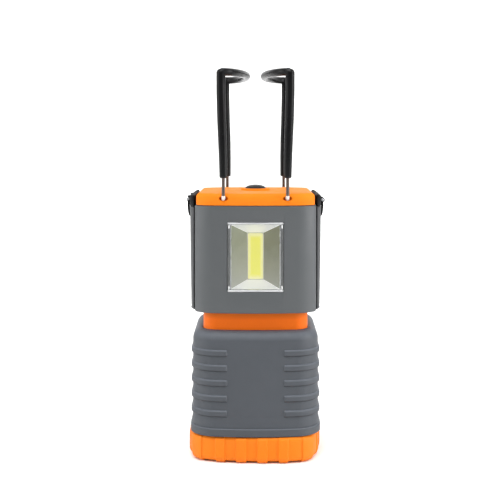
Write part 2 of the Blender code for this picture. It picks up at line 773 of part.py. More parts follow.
# ---------------------------------------------------------------- side doors
DOOR_IN_X = 40.6       # inner face
DOOR_LOW = 98.7
DOOR_TOP = 167.3
DOOR_HW_LOW = 43.1     # plan half width at the door's foot, tapering
DOOR_HW_TOP = 44.2     # to here at the latch's top
DOOR_PIN_R = 0.55
DOOR_PIN_HALF = 28.2
LATCH_LOW = DOOR_TOP + GAP
LATCH_TOP = 175.3
LEVER_X = 46.3         # latch lever's pin
LEVER_Z = 170.3
LEVER_R = 1.45
LEVER_PIN_R = 0.5
LEVER_HOLE_R = 0.8
# x from the pin, z and half thickness down the lever's blade
BLADE_LINE = (
    (0.0, LEVER_Z - 0.5, 0.6), (0.2, 167.0, 0.6), (0.2, 164.4, 0.6),
    (-0.2, 161.6, 0.6), (-0.9, 159.1, 0.45),
)


def door_half_w(z):
    t = (z - DOOR_LOW) / (LATCH_TOP - DOOR_LOW)
    return DOOR_HW_LOW + (DOOR_HW_TOP - DOOR_HW_LOW) * t


def door_loop(z, inner_x, half_w, sx):
    """Part of the plan outline outside inner_x, on one side."""
    r, centre_x, centre_y = corner(half_w=half_w)
    start = math.asin((inner_x - centre_x) / r)
    arc = corner_arc(r, centre_x, centre_y, start, math.pi / 2, CORNER_STEPS)
    return [(sx * x, y, z) for x, y in arc + [(x, -y) for x, y in reversed(arc)]]


def make_door(sx, side):
    axis_x = sx * DOOR_AXIS_X
    door = loft("side_door_" + side, [
        door_loop(DOOR_LOW, DOOR_IN_X + 0.75, DOOR_HW_LOW - 0.6, sx),
        door_loop(DOOR_LOW + 0.3, DOOR_IN_X + 0.3, DOOR_HW_LOW - 0.15, sx),
        door_loop(DOOR_LOW + 0.9, DOOR_IN_X, DOOR_HW_LOW, sx),
        door_loop(DOOR_TOP, DOOR_IN_X, door_half_w(DOOR_TOP), sx),
    ], GREY)
    # slots that clear the shells' hinge lugs
    for sy in (-1, 1):
        cut(door, box(
            "door_slot_%s_%d" % (side, sy),
            (sx * 39.0, sx * 46.0),
            (sy * (LUG_Y[0] - 0.4), sy * (LUG_Y[1] + 0.4)),
            (DOOR_LOW - 1.0, DOOR_AXIS_Z + LUG_R + 0.5),
            GREY,
        ))
    bore_span = (-DOOR_PIN_HALF - 0.4, DOOR_PIN_HALF + 0.4)
    cut(door, rod_y("door_bore_" + side, axis_x, DOOR_AXIS_Z, bore_span, DOOR_HOLE_R, GREY))
    # shallow pocket in the door's inner face, which clears the lens behind it
    pocket_x = (sx * 39.0, sx * (DOOR_IN_X + 1.1))
    cut(door, box("door_pocket_" + side, pocket_x, (-24.0, 24.0), (108.0, 162.0), GREY))
    set_origin(door, axis_x, 0, DOOR_AXIS_Z)

    pin_span = (-DOOR_PIN_HALF, DOOR_PIN_HALF)
    pin = rod_y("door_pin_" + side, axis_x, DOOR_AXIS_Z, pin_span, DOOR_PIN_R, ZINC, 8)
    set_origin(pin, axis_x, 0, DOOR_AXIS_Z)


def make_latch(sx, side):
    lever_x = sx * LEVER_X
    latch = loft("latch_block_" + side, [
        door_loop(LATCH_LOW, DOOR_IN_X, door_half_w(LATCH_LOW), sx),
        door_loop(LATCH_TOP - 0.8, DOOR_IN_X, DOOR_HW_TOP, sx),
        door_loop(LATCH_TOP, DOOR_IN_X + 0.4, DOOR_HW_TOP - 0.7, sx),
    ], BLACK)
    for sy in (-1, 1):
        name = "latch_ear_%s_%d" % (side, sy)
        join(latch, lug(name, sx, (sy * 4.6, sy * 6.4), LEVER_X, LEVER_Z, 1.6, 42.5, BLACK))
    cut(latch, rod_y("latch_bore_" + side, lever_x, LEVER_Z, (-8.0, 8.0), LEVER_HOLE_R, BLACK))
    set_origin(latch, sx * DOOR_AXIS_X, 0, DOOR_AXIS_Z)

    pin = rod_y("latch_pin_" + side, lever_x, LEVER_Z, (-6.9, 6.9), LEVER_PIN_R, ZINC, 8)
    set_origin(pin, lever_x, 0, LEVER_Z)


def blade_section():
    """Outline in x and z of the lever's blade, on the right side."""
    last = len(BLADE_LINE) - 1
    outer, inner = [], []
    for k, (dx, z, half) in enumerate(BLADE_LINE):
        above = BLADE_LINE[max(k - 1, 0)]
        below = BLADE_LINE[min(k + 1, last)]
        along_x, along_z = below[0] - above[0], below[1] - above[1]
        length = math.hypot(along_x, along_z)
        off_x, off_z = -along_z / length * half, along_x / length * half
        outer.append((LEVER_X + dx + off_x, z + off_z))
        inner.append((LEVER_X + dx - off_x, z - off_z))
    return outer + inner[::-1]


def make_lever(sx, side):
    x = sx * LEVER_X
    lever = rod_y("latch_lever_" + side, x, LEVER_Z, (-4.2, 4.2), LEVER_R, BLACK, 14)
    loops = [[(sx * px, y, z) for px, z in blade_section()] for y in (-4.0, 4.0)]
    join(lever, loft("lever_blade_" + side, loops, BLACK))
    cut(lever, rod_y("lever_bore_" + side, x, LEVER_Z, (-6.0, 6.0), LEVER_HOLE_R, BLACK))
    set_origin(lever, x, 0, LEVER_Z)


# ---------------------------------------------------------------- bail handles
WIRE_R = 1.15
WIRE_IN_Y = 39.0       # the wire's ends, inside the cap
WIRE_BEND_Y = 44.6     # start of the bend outside the cap
WIRE_Y = 46.3          # wire leg's depth just above the bend
LEG_TOP_Y = 48.4       # the legs flare to this depth at the top
LEG_TOP_X = 22.5
LEG_TOP_Z = 256.0
LOOP_TIP_X = 6.2
LOOP_START = 0.24      # angle in radians where the top loop leaves its bend
BEND_STEPS = 2
TOP_STEPS = 3
LOOP_STEPS = 6
GRIP_LOW_Z = 187.0
GRIP_FULL_Z = 228.0    # the grip reaches its full radius here
GRIP_R_LOW = 2.3
GRIP_R_TOP = 2.9
GRIP_BORE_R = WIRE_R + 0.3
# height and outward lean of the legs, a gentle S
LEG_LEAN = ((GRIP_LOW_Z, 0.0), (199.0, 0.15), (212.0, 0.5), (225.0, 1.05), (244.0, 1.5))


def bezier(a, b, c, n):
    """Points of a quadratic curve from a to c, without a itself."""
    points = []
    for k in range(1, n + 1):
        t = k / n
        points.append(tuple(
            (1 - t) ** 2 * a[i] + 2 * t * (1 - t) * b[i] + t * t * c[i] for i in range(3)
        ))
    return points


def loop_point(a):
    """Point of the top loop, from the front leg (0) to the loop's tip (pi / 2)."""
    reach = LEG_TOP_X - LOOP_TIP_X
    return (LEG_TOP_X - reach * math.sin(a), -LEG_TOP_Y * math.cos(a), LEG_TOP_Z)


def handle_path(sx):
    """Wire centreline from the front hole over the loop to the back hole."""
    bend_start = (PIVOT_X, -WIRE_BEND_Y, PIVOT_Z)
    foot = (PIVOT_X + 0.02, -WIRE_Y - 0.05, PIVOT_Z + 1.8)
    head = (LEG_TOP_X - 0.05, -LEG_TOP_Y + 0.1, LEG_TOP_Z - 4.0)
    half = [(PIVOT_X, -WIRE_IN_Y, PIVOT_Z), bend_start]
    half += bezier(bend_start, (PIVOT_X, -WIRE_Y, PIVOT_Z), foot, BEND_STEPS)
    for z, lean in LEG_LEAN:
        t = (z - foot[2]) / (head[2] - foot[2])
        half.append((PIVOT_X + lean, foot[1] + (head[1] - foot[1]) * t, z))
    half.append(head)
    leg_top = (LEG_TOP_X, -LEG_TOP_Y, LEG_TOP_Z)
    half += bezier(head, leg_top, loop_point(LOOP_START), TOP_STEPS)
    for k in range(1, LOOP_STEPS + 1):
        half.append(loop_point(LOOP_START + (math.pi / 2 - LOOP_START) * k / LOOP_STEPS))
    half = [(sx * x, y, z) for x, y, z in half]
    return half + [(x, -y, z) for x, y, z in half[:-1][::-1]]


def grip_radius(z):
    t = min(1.0, (z - GRIP_LOW_Z) / (GRIP_FULL_Z - GRIP_LOW_Z))
    return GRIP_R_LOW + (GRIP_R_TOP - GRIP_R_LOW) * (1.0 - (1.0 - t) ** 1.6)


def make_handle(sx, side):
    path = handle_path(sx)
    wire = tube("handle_wire_" + side, path, WIRE_R, STEEL, 8)
    covered = [p for p in path if p[2] >= GRIP_LOW_Z]
    outside = path_rings(covered, [grip_radius(p[2]) for p in covered], 8)
    bore = path_rings(covered, [GRIP_BORE_R] * len(covered), 8)
    grip = loft("handle_grip_" + side, outside + bore[::-1], RUBBER, closed=True)
    for obj in (wire, grip):
        set_origin(obj, sx * PIVOT_X, 0, PIVOT_Z)


# ---------------------------------------------------------------- build
make_base()
make_base_fittings()
make_batteries()
make_housing()
make_sleeve()
make_neck()
make_shell("front", FRONT_RODS)
make_shell("rear", REAR_RODS)
make_rear_screws()
make_lamps()
make_head_internals()
make_cap()
make_button()
for sign, side_name in SIDES:
    make_door(sign, side_name)
    make_latch(sign, side_name)
    make_lever(sign, side_name)
    make_handle(sign, side_name)
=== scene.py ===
import json
import math

import bmesh
import bpy
import numpy as np
from mathutils import Matrix, Vector


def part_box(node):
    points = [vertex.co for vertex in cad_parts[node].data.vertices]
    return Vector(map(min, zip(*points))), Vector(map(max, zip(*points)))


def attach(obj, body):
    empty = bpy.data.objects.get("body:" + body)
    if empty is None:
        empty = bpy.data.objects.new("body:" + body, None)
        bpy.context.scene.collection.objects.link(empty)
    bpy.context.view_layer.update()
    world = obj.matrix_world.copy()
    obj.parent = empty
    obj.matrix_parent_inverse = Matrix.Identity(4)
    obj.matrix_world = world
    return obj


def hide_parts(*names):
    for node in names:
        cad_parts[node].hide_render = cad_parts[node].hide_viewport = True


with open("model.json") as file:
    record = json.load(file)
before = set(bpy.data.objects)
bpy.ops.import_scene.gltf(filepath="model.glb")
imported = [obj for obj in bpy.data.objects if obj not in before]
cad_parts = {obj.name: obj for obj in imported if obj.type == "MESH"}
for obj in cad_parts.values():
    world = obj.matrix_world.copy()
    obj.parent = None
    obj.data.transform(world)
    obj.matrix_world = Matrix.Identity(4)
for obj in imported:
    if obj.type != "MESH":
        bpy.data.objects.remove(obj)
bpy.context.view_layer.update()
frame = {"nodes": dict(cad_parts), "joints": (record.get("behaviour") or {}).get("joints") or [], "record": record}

MM = 0.001


def lo(node):
    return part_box(node)[0] * 1000.0


def hi(node):
    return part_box(node)[1] * 1000.0


JOINT = {j["name"]: j for j in frame["joints"]}


def joint_mm(name):
    return Vector(JOINT[name]["pos_m"]) * 1000.0


# ------------------------------------------------------------------ sizes
# Sizes in mm: some are read from the imported model's own boxes and joints, the rest are given here.
HALF_D = 45.0
HALF_W = 44.2
BASE_HALF_W = 44.5
CORNER_R = 19.5
BOW_R = 200.0

BASE_TOP = hi("base_cap").z
BASE_TURN = -3.3
SLEEVE_LOW = lo("grip_sleeve").z
SLEEVE_TOP = hi("grip_sleeve").z
SHOULDER = 79.0
BAR_Z = (32.1, 41.9, 52.1, 61.9, 71.7)
BAR_X = 18.7
BAR_HALF = 2.25
BAR_OUT = 1.0
NECK_TOP = 97.8
HEAD_LOW = lo("head_front_shell").z
HEAD_TOP = hi("head_front_shell").z
SHELL_X = 40.1
CAP_LOW = lo("top_cap").z
CAP_X = hi("top_cap").x
CAP_TOP = 176.7
COLLAR_TOP = hi("top_cap").z
BUTTON_TOP = hi("power_button").z
DOOR_AXIS = joint_mm("door_right_open")
LEVER_AXIS = joint_mm("latch_right_lift")
PIVOT = joint_mm("handle_right_swing")
DOOR_IN = lo("side_door_right").x
DOOR_LOW = lo("side_door_right").z
DOOR_TOP = hi("side_door_right").z
LATCH_LOW = lo("latch_block_right").z
LATCH_TOP = hi("latch_block_right").z
WIN_C = (lo("front_lens") + hi("front_lens")) / 2
WIN_Z = WIN_C.z
WIN_HW = hi("front_lens").x
WIN_HH = (hi("front_lens").z - lo("front_lens").z) / 2
FRONT_LENS = -lo("front_lens").y
SIDE_LENS = hi("right_lens").x
COB_HW = 4.95
COB_HH = 15.0


# ------------------------------------------------------------------ mesh helpers
def build(name, verts, faces, body, slot, mats, sharp=32.0, smooth=True):
    mesh = bpy.data.meshes.new(name)
    mesh.from_pydata([(v[0] * MM, v[1] * MM, v[2] * MM) for v in verts], [], faces)
    bm = bmesh.new()
    bm.from_mesh(mesh)
    bmesh.ops.remove_doubles(bm, verts=bm.verts, dist=1e-7)
    bmesh.ops.recalc_face_normals(bm, faces=bm.faces)
    bm.to_mesh(mesh)
    bm.free()
    if smooth:
        mesh.shade_smooth()
        mesh.set_sharp_from_angle(angle=math.radians(sharp))
    for m in mats if isinstance(mats, (list, tuple)) else [mats]:
        mesh.materials.append(m)
    obj = bpy.data.objects.new(name, mesh)
    bpy.context.scene.collection.objects.link(obj)
    if body:
        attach(obj, body)
    return obj


def skin(loops, closed=False, cap=True):
    n = len(loops[0])
    verts = [tuple(p) for loop in loops for p in loop]
    faces = []
    pairs = [(i, i + 1) for i in range(len(loops) - 1)]
    if closed:
        pairs.append((len(loops) - 1, 0))
    for a, b in pairs:
        for k in range(n):
            k2 = (k + 1) % n
            faces.append((a * n + k, a * n + k2, b * n + k2, b * n + k))
    if not closed and cap:
        faces.append(tuple(range(n))[::-1])
        faces.append(tuple((len(loops) - 1) * n + k for k in range(n)))
    return verts, faces


def apply_all(obj):
    """Bakes an object's modifiers into its mesh."""
    bpy.context.view_layer.update()
    dg = bpy.context.evaluated_depsgraph_get()
    mesh = bpy.data.meshes.new_from_object(obj.evaluated_get(dg), depsgraph=dg)
    obj.modifiers.clear()
    old = obj.data
    obj.data = mesh
    bpy.data.meshes.remove(old)
    return obj


def carve(obj, tools, bevel=0.3, segments=2, sharp=32.0, angle=48.0):
    """Cuts or joins tool meshes, then rounds the edges that are left sharp."""
    for kind, tool in tools:
        mod = obj.modifiers.new("tool", "BOOLEAN")
        mod.operation = kind
        mod.solver = "EXACT"
        mod.object = tool
    apply_all(obj)
    for _, tool in tools:
        bpy.data.objects.remove(tool, do_unlink=True)
    clean(obj)
    if bevel:
        mod = obj.modifiers.new("edge", "BEVEL")
        mod.width = bevel * MM
        mod.segments = segments
        mod.limit_method = "ANGLE"
        mod.angle_limit = math.radians(angle)
        mod.miter_outer = "MITER_ARC"
        mod.use_clamp_overlap = True
        apply_all(obj)
    obj.data.shade_smooth()
    obj.data.set_sharp_from_angle(angle=math.radians(sharp))
    return obj


def clean(obj):
    bm = bmesh.new()
    bm.from_mesh(obj.data)
    bmesh.ops.remove_doubles(bm, verts=bm.verts, dist=2e-6)
    bmesh.ops.dissolve_degenerate(bm, edges=bm.edges, dist=2e-6)
    bmesh.ops.dissolve_limit(
        bm, angle_limit=math.radians(0.6), use_dissolve_boundaries=False, verts=bm.verts, edges=bm.edges
    )
    bm.to_mesh(obj.data)
    bm.free()


def tool(name, verts, faces):
    return build("tool_" + name, verts, faces, None, None, [], smooth=False)


def prism(name, pts, axis, a, b):
    """Extrudes a 2-D outline along x, y or z between a and b."""
    loops = []
    for t in (a, b):
        if axis == "x":
            loops.append([(t, p, q) for p, q in pts])
        elif axis == "y":
            loops.append([(p, t, q) for p, q in pts])
        else:
            loops.append([(p, q, t) for p, q in pts])
    return tool(name, *skin(loops))


def round_rect(hw, hh, r, n=5, cx=0.0, cy=0.0):
    pts = []
    for sx, sy, a0 in ((1, -1, -90), (1, 1, 0), (-1, 1, 90), (-1, -1, 180)):
        for k in range(n + 1):
            a = math.radians(a0 + 90.0 * k / n)
            pts.append((cx + sx * (hw - r) + r * math.cos(a), cy + sy * (hh - r) + r * math.sin(a)))
    return pts


def ellipse(rx, rz, n=32, cx=0.0, cz=0.0):
    return [(cx + rx * math.cos(2 * math.pi * k / n), cz + rz * math.sin(2 * math.pi * k / n)) for k in range(n)]


def turn_profile(profile, n=64, cx=0.0, cy=0.0):
    """Loops of a profile of (radius, z) turned about an upright axis."""
    return [
        [(cx + r * math.cos(2 * math.pi * k / n), cy + r * math.sin(2 * math.pi * k / n), z) for k in range(n)]
        for r, z in profile
    ]


# ------------------------------------------------------------------ plan outline
def frame_of(hw=HALF_W, r=CORNER_R):
    cx = hw - r
    bow_y = BOW_R - HALF_D
    phi = math.asin(cx / (BOW_R - r))
    cy = bow_y - (BOW_R - r) * math.cos(phi)
    return cx, cy, phi, bow_y


def spaced(a, b, n, ends=True):
    return [a + (b - a) * k / n for k in range(0 if ends else 1, n + 1)]


def quarter(xs, corner=18, xlim=None, fillet=0.0, nfil=5, hw=HALF_W, side=()):
    """Front right quarter of the outline as (x, y, nx, ny): xs on the front
    face, then the corner arc, then either the side or a fillet into x=xlim."""
    cx, cy, phi, bow_y = frame_of(hw)
    out = []
    for x in xs:
        a = math.asin(x / BOW_R)
        out.append((x, bow_y - BOW_R * math.cos(a), math.sin(a), -math.cos(a)))
    end = math.pi / 2
    if xlim is not None:
        end = math.asin((xlim - fillet - cx) / (CORNER_R - fillet))
    for k in range(corner + 1):
        a = phi + (end - phi) * k / corner
        out.append((cx + CORNER_R * math.sin(a), cy - CORNER_R * math.cos(a), math.sin(a), -math.cos(a)))
    if xlim is not None:
        fx = xlim - fillet
        fy = cy - (CORNER_R - fillet) * math.cos(end)
        for k in range(1, nfil + 1):
            a = end + (math.pi / 2 - end) * k / nfil
            out.append((fx + fillet * math.sin(a), fy - fillet * math.cos(a), math.sin(a), -math.cos(a)))
    for y in side:
        x_side = xlim if xlim is not None else hw
        out.append((x_side, y, 1.0, 0.0))
    return out


def whole(q):
    """Mirrors a front right quarter into the whole outline, anticlockwise."""
    right = q + [(x, -y, nx, -ny) for x, y, nx, ny in reversed(q) if abs(y) > 1e-6]
    left = [(-x, -y, -nx, -ny) for x, y, nx, ny in q if abs(x) > 1e-6]
    left2 = [(-x, y, -nx, ny) for x, y, nx, ny in reversed(q) if abs(x) > 1e-6 and abs(y) > 1e-6]
    return np.array(right + left + left2)


def half(q, y_end):
    """Front half, closed along y = y_end."""
    x_side = q[-1][0]
    right = q + [(x_side, y_end, 1.0, 0.0)]
    left = [(-x, y, -nx, ny) for x, y, nx, ny in right if abs(x) > 1e-6]
    return np.array(left[::-1] + right)


def at(plan, inset, z):
    """The outline moved in by inset (a number, or one per point) at height z
    (a number, or one per point)."""
    inset = np.broadcast_to(np.asarray(inset, float), (len(plan),))
    zz = np.broadcast_to(np.asarray(z, float), (len(plan),))
    x = plan[:, 0] - plan[:, 2] * inset
    y = plan[:, 1] - plan[:, 3] * inset
    return list(zip(x, y, zz))


def smooth(t):
    t = max(0.0, min(1.0, t))
    return t * t * (3 - 2 * t)


def npsmooth(t):
    t = np.clip(t, 0.0, 1.0)
    return t * t * (3 - 2 * t)


def edge_round(z0, z1, r, n=5, top=True):
    """(z, inset) pairs for a rounded edge of radius r next to z1."""
    out = []
    for k in range(1, n + 1):
        a = math.pi / 2 * k / n
        if top:
            out.append((z1 - r + r * math.sin(a), r * (1 - math.cos(a))))
        else:
            out.append((z0 + r - r * math.sin(a), r * (1 - math.cos(a))))
    return out


# ------------------------------------------------------------------ materials
def lin(c):
    """sRGB 0..255 to linear."""
    out = []
    for v in c:
        v = v / 255.0
        out.append(v / 12.92 if v <= 0.04045 else ((v + 0.055) / 1.055) ** 2.4)
    return tuple(out)


class Nodes:
    """A small helper for writing node trees."""

    def __init__(self, name):
        self.mat = bpy.data.materials.new(name)
        self.mat.use_nodes = True
        self.tree = self.mat.node_tree
        self.bsdf = self.tree.nodes["Principled BSDF"]
        self.coord = self.tree.nodes.new("ShaderNodeTexCoord")

    def node(self, kind, **settings):
        n = self.tree.nodes.new(kind)
        for key, value in settings.items():
            if hasattr(n, key):
                setattr(n, key, value)
            else:
                n.inputs[key].default_value = value
        return n

    def link(self, a, b):
        self.tree.links.new(a, b)

    def mapped(self, scale):
        m = self.node("ShaderNodeMapping")
        m.inputs["Scale"].default_value = scale
        self.link(self.coord.outputs["Object"], m.inputs["Vector"])
        return m.outputs["Vector"]

    def noise(self, scale, detail=2.0, rough=0.5, vector=None):
        n = self.node("ShaderNodeTexNoise")
        n.inputs["Scale"].default_value = scale
        n.inputs["Detail"].default_value = detail
        n.inputs["Roughness"].default_value = rough
        self.link(vector or self.coord.outputs["Object"], n.inputs["Vector"])
        return n.outputs["Fac"]

    def span(self, value, a, b, c, d):
        m = self.node("ShaderNodeMapRange")
        self.link(value, m.inputs["Value"])
        for key, v in zip(("From Min", "From Max", "To Min", "To Max"), (a, b, c, d)):
            m.inputs[key].default_value = v
        return m.outputs["Result"]

    def math(self, op, a, b):
        m = self.node("ShaderNodeMath")
        m.operation = op
        for i, v in enumerate((a, b)):
            if isinstance(v, (int, float)):
                m.inputs[i].default_value = v
            else:
                self.link(v, m.inputs[i])
        return m.outputs[0]

    def mix(self, fac, a, b, blend="MIX"):
        m = self.node("ShaderNodeMix")
        m.data_type = "RGBA"
        m.blend_type = blend
        for key, v in ((0, fac), (6, a), (7, b)):
            if isinstance(v, (int, float)):
                m.inputs[key].default_value = v
            elif isinstance(v, tuple):
                m.inputs[key].default_value = (v[0], v[1], v[2], 1.0)
            else:
                self.link(v, m.inputs[key])
        return m.outputs[2]

    def bump(self, height, strength, distance, before=None):
        b = self.node("ShaderNodeBump")
        b.inputs["Strength"].default_value = strength
        b.inputs["Distance"].default_value = distance
        self.link(height, b.inputs["Height"])
        if before is not None:
            self.link(before, b.inputs["Normal"])
        return b.outputs["Normal"]

    def set(self, key, value):
        if isinstance(value, (int, float)):
            self.bsdf.inputs[key].default_value = value
        elif isinstance(value, tuple):
            self.bsdf.inputs[key].default_value = (value[0], value[1], value[2], 1.0)
        else:
            self.link(value, self.bsdf.inputs[key])


def shade(rgb, k):
    return tuple(min(1.0, c * k) for c in rgb)


def moulded(name, rgb, rough=0.5, grain=1500.0, grain_depth=0.00004, grain_amount=0.5, vary=0.07,
            edge_wear_and_glint=0.25, scratch=0.25, spec=0.5, edge_tint=1.5, painted_tilt_light=0.0, painted_shade_band=None):
    """Moulded plastic or rubber: eroded-tool grain, faint flow marks in the
    colour, uneven gloss, hairline scratches and lighter rubbed edges, which
    turned up high paint a highlight; optional painted highlight on up-facing
    faces with painted shade on down-facing ones, and a painted shade band."""
    n = Nodes(name)
    flow = n.noise(22.0, 3.0, 0.55)
    colour = n.mix(n.span(flow, 0.3, 0.7, 0.0, 1.0), shade(rgb, 1.0 - vary), shade(rgb, 1.0 + vary))
    speck = n.noise(grain * 0.8, 2.0, 0.6)
    colour = n.mix(n.span(speck, 0.35, 0.65, 0.0, 0.5), colour, shade(rgb, 1.0 - vary * 1.4))
    # rubbed edges; turned up high on the grip, the same mask paints a highlight along its ridges
    geo = n.node("ShaderNodeNewGeometry")
    rubbed_edge_and_glint_mask = n.math("MULTIPLY", n.span(geo.outputs["Pointiness"], 0.515, 0.60, 0.0, 1.0), n.span(n.noise(160.0, 4.0, 0.6), 0.38, 0.62, 0.25, 1.0))
    colour = n.mix(n.math("MULTIPLY", rubbed_edge_and_glint_mask, edge_wear_and_glint), colour, shade(rgb, edge_tint))
    if painted_tilt_light:
        # painted highlight on whatever faces up, painted shade on whatever faces down
        tilt = n.node("ShaderNodeSeparateXYZ")
        n.link(geo.outputs["Normal"], tilt.inputs[0])
        up = n.math("MULTIPLY", n.span(tilt.outputs["Z"], 0.12, 0.75, 0.0, 1.0), n.span(n.noise(240.0, 3.0, 0.6), 0.25, 0.6, 0.75, 1.0))
        colour = n.mix(n.math("MULTIPLY", up, min(1.0, painted_tilt_light)), colour, shade(rgb, 1.9))
        painted_shade_down = n.span(tilt.outputs["Z"], -0.10, -0.6, 0.0, 1.0)
        colour = n.mix(n.math("MULTIPLY", painted_shade_down, min(1.0, painted_tilt_light)), colour, shade(rgb, 0.42))
    if painted_shade_band:
        # painted shade: a darker band between two heights, as below an overhang
        height = n.node("ShaderNodeSeparateXYZ")
        n.link(n.coord.outputs["Object"], height.inputs[0])
        band = n.math("MULTIPLY", n.span(height.outputs["Z"], painted_shade_band[0] * MM, painted_shade_band[1] * MM, 0.0, 1.0), n.span(n.noise(120.0, 3.0, 0.6), 0.3, 0.7, 0.8, 1.0))
        colour = n.mix(band, colour, tuple(c * u for c, u in zip(rgb, painted_shade_band[2])))
    # hairline scratches in two directions
    lines = n.noise(1.0, 3.0, 0.6, n.mapped((2600.0, 2600.0, 90.0)))
    lines2 = n.noise(1.0, 3.0, 0.6, n.mapped((140.0, 300.0, 3000.0)))
    where = n.span(n.noise(35.0, 2.0, 0.5), 0.52, 0.70, 0.0, 1.0)
    hair = n.math("MULTIPLY", n.math("MAXIMUM", n.span(lines, 0.66, 0.74, 0.0, 1.0), n.span(lines2, 0.67, 0.75, 0.0, 1.0)), where)
    colour = n.mix(n.math("MULTIPLY", hair, scratch), colour, shade(rgb, 1.35))
    n.set("Base Color", colour)
    gloss = n.span(n.noise(48.0, 3.0, 0.6), 0.3, 0.7, rough - 0.05, rough + 0.07)
    gloss = n.math("SUBTRACT", gloss, n.math("MULTIPLY", rubbed_edge_and_glint_mask, 0.10))
    n.set("Roughness", n.math("ADD", gloss, n.math("MULTIPLY", hair, 0.12)))
    n.set("Specular IOR Level", spec)
    fine = n.noise(grain, 3.0, 0.65)
    normal = n.bump(fine, grain_amount, grain_depth)
    soft = n.noise(90.0, 2.0, 0.5)
    normal = n.bump(soft, 0.12, 0.0004, normal)
    n.set("Normal", normal)
    return n.mat


def metal(name, rgb, rough=0.3, grain=(900.0, 900.0, 40.0), vary=0.12, bump=0.2, metallic=1.0, tarnish=None):
    """Metal with drawing or brushing marks along one direction."""
    n = Nodes(name)
    brushed = n.noise(1.0, 4.0, 0.6, n.mapped(grain))
    cloud = n.noise(70.0, 3.0, 0.6)
    colour = n.mix(n.span(brushed, 0.3, 0.7, 0.0, 1.0), shade(rgb, 1.0 - vary), shade(rgb, 1.0 + vary))
    colour = n.mix(n.span(cloud, 0.45, 0.75, 0.0, 0.5), colour, tarnish or shade(rgb, 0.7))
    n.set("Base Color", colour)
    n.set("Metallic", metallic)
    n.set("Roughness", n.math("ADD", n.span(brushed, 0.3, 0.7, rough - 0.06, rough + 0.08), n.span(cloud, 0.4, 0.8, 0.0, 0.12)))
    n.set("Normal", n.bump(brushed, bump, 0.00003))
    return n.mat


ORANGE = moulded("orange_plastic", (0.82, 0.196, 0.008), 0.54, grain=1700, grain_amount=0.35, vary=0.05, edge_wear_and_glint=0.18, scratch=0.10, spec=0.18, edge_tint=1.15)
# painted shade: the cap's band dims its yellow towards the bottom of the front face
ORANGE_CAP = moulded("orange_cap_plastic", (0.83, 0.226, 0.010), 0.62, grain=1700, grain_amount=0.35, vary=0.05, edge_wear_and_glint=0.18, scratch=0.10, spec=0.12, edge_tint=1.15, painted_shade_band=(174.6, 170.8, (1.0, 0.86, 0.9)))
# painted shade: a darker, more saturated copy of the orange for the neck, with a painted shade band under the head
ORANGE_NECK_SHADED = moulded("orange_neck_plastic_shaded", (0.88, 0.156, 0.005), 0.54, grain=1700, grain_amount=0.35, vary=0.05, edge_wear_and_glint=0.15, scratch=0.08, spec=0.16, edge_tint=1.15, painted_shade_band=(92.6, 97.6, (0.52, 0.62, 1.6)))
GREY = moulded("grey_shell_plastic", lin((76, 79, 81)), 0.50, grain=1900, grain_amount=0.55, vary=0.05, edge_wear_and_glint=0.22, scratch=0.15, edge_tint=1.4)
# painted shade: a darker copy of the grey shell plastic for the doors
GREY_DOOR_SHADED = moulded("grey_door_plastic", lin((54, 56, 58)), 0.52, grain=1900, grain_amount=0.55, vary=0.05, edge_wear_and_glint=0.22, scratch=0.15, edge_tint=1.4)
# the sleeve carries a painted highlight on up-facing faces and painted shade on down-facing faces
GREY_RUBBER = moulded("grey_sleeve_rubber", lin((66, 70, 76)), 0.58, grain=2300, grain_amount=0.7, grain_depth=0.00005, vary=0.06, edge_wear_and_glint=0.25, scratch=0.06, edge_tint=1.35, painted_tilt_light=0.78)
BLACK = moulded("black_plastic", lin((10, 10, 12)), 0.70, grain=1700, grain_amount=0.4, vary=0.15, edge_wear_and_glint=0.30, scratch=0.4, spec=0.14, edge_tint=2.6)
HOUSING = moulded("housing_black", lin((34, 34, 36)), 0.5, grain=1500, grain_amount=0.5, vary=0.15, edge_wear_and_glint=0.3, scratch=0.3, edge_tint=2.0)
BUTTON = moulded("button_rubber", lin((22, 20, 18)), 0.45, grain=2600, grain_amount=0.35, vary=0.12, edge_wear_and_glint=0.3, scratch=0.1, spec=0.30, edge_tint=1.8)
# painted highlight: the grip's high edge tint lights its ridges and parting lines
GRIP = moulded("grip_rubber", lin((13, 13, 14)), 0.27, grain=2800, grain_amount=0.22, grain_depth=0.00003, vary=0.15, edge_wear_and_glint=0.85, scratch=0.10, spec=0.17, edge_tint=15.0)
SEAL = moulded("seal_rubber", lin((28, 28, 28)), 0.55, grain=2200, grain_amount=0.4, vary=0.12, edge_wear_and_glint=0.1, scratch=0.0)
WIRE = metal("wire_steel", lin((104, 94, 90)), 0.20, (1400, 1400, 60), tarnish=lin((96, 84, 72)))
# painted highlight: a pale, part-metal copy of the wire steel for the bend at each hole
WIRE_BEND_HIGHLIGHT = metal("wire_steel_bend_highlight", lin((236, 222, 212)), 0.42, (700, 700, 700), metallic=0.45, tarnish=lin((205, 186, 172)))
ZINC = metal("zinc_steel", lin((190, 191, 194)), 0.30, (600, 600, 600), tarnish=lin((150, 150, 140)))
ALU = metal("aluminium", lin((205, 207, 210)), 0.36, (300, 1500, 300))
BOARD = moulded("board_green", lin((24, 92, 48)), 0.38, grain=900, grain_amount=0.25, vary=0.2, edge_wear_and_glint=0.0, scratch=0.0)
LEAD_RED = moulded("lead_red", lin((176, 38, 30)), 0.4, grain=2600, grain_amount=0.2, edge_wear_and_glint=0.0, scratch=0.0)
LEAD_BLACK = moulded("lead_black", lin((30, 30, 30)), 0.4, grain=2600, grain_amount=0.2, edge_wear_and_glint=0.0, scratch=0.0)


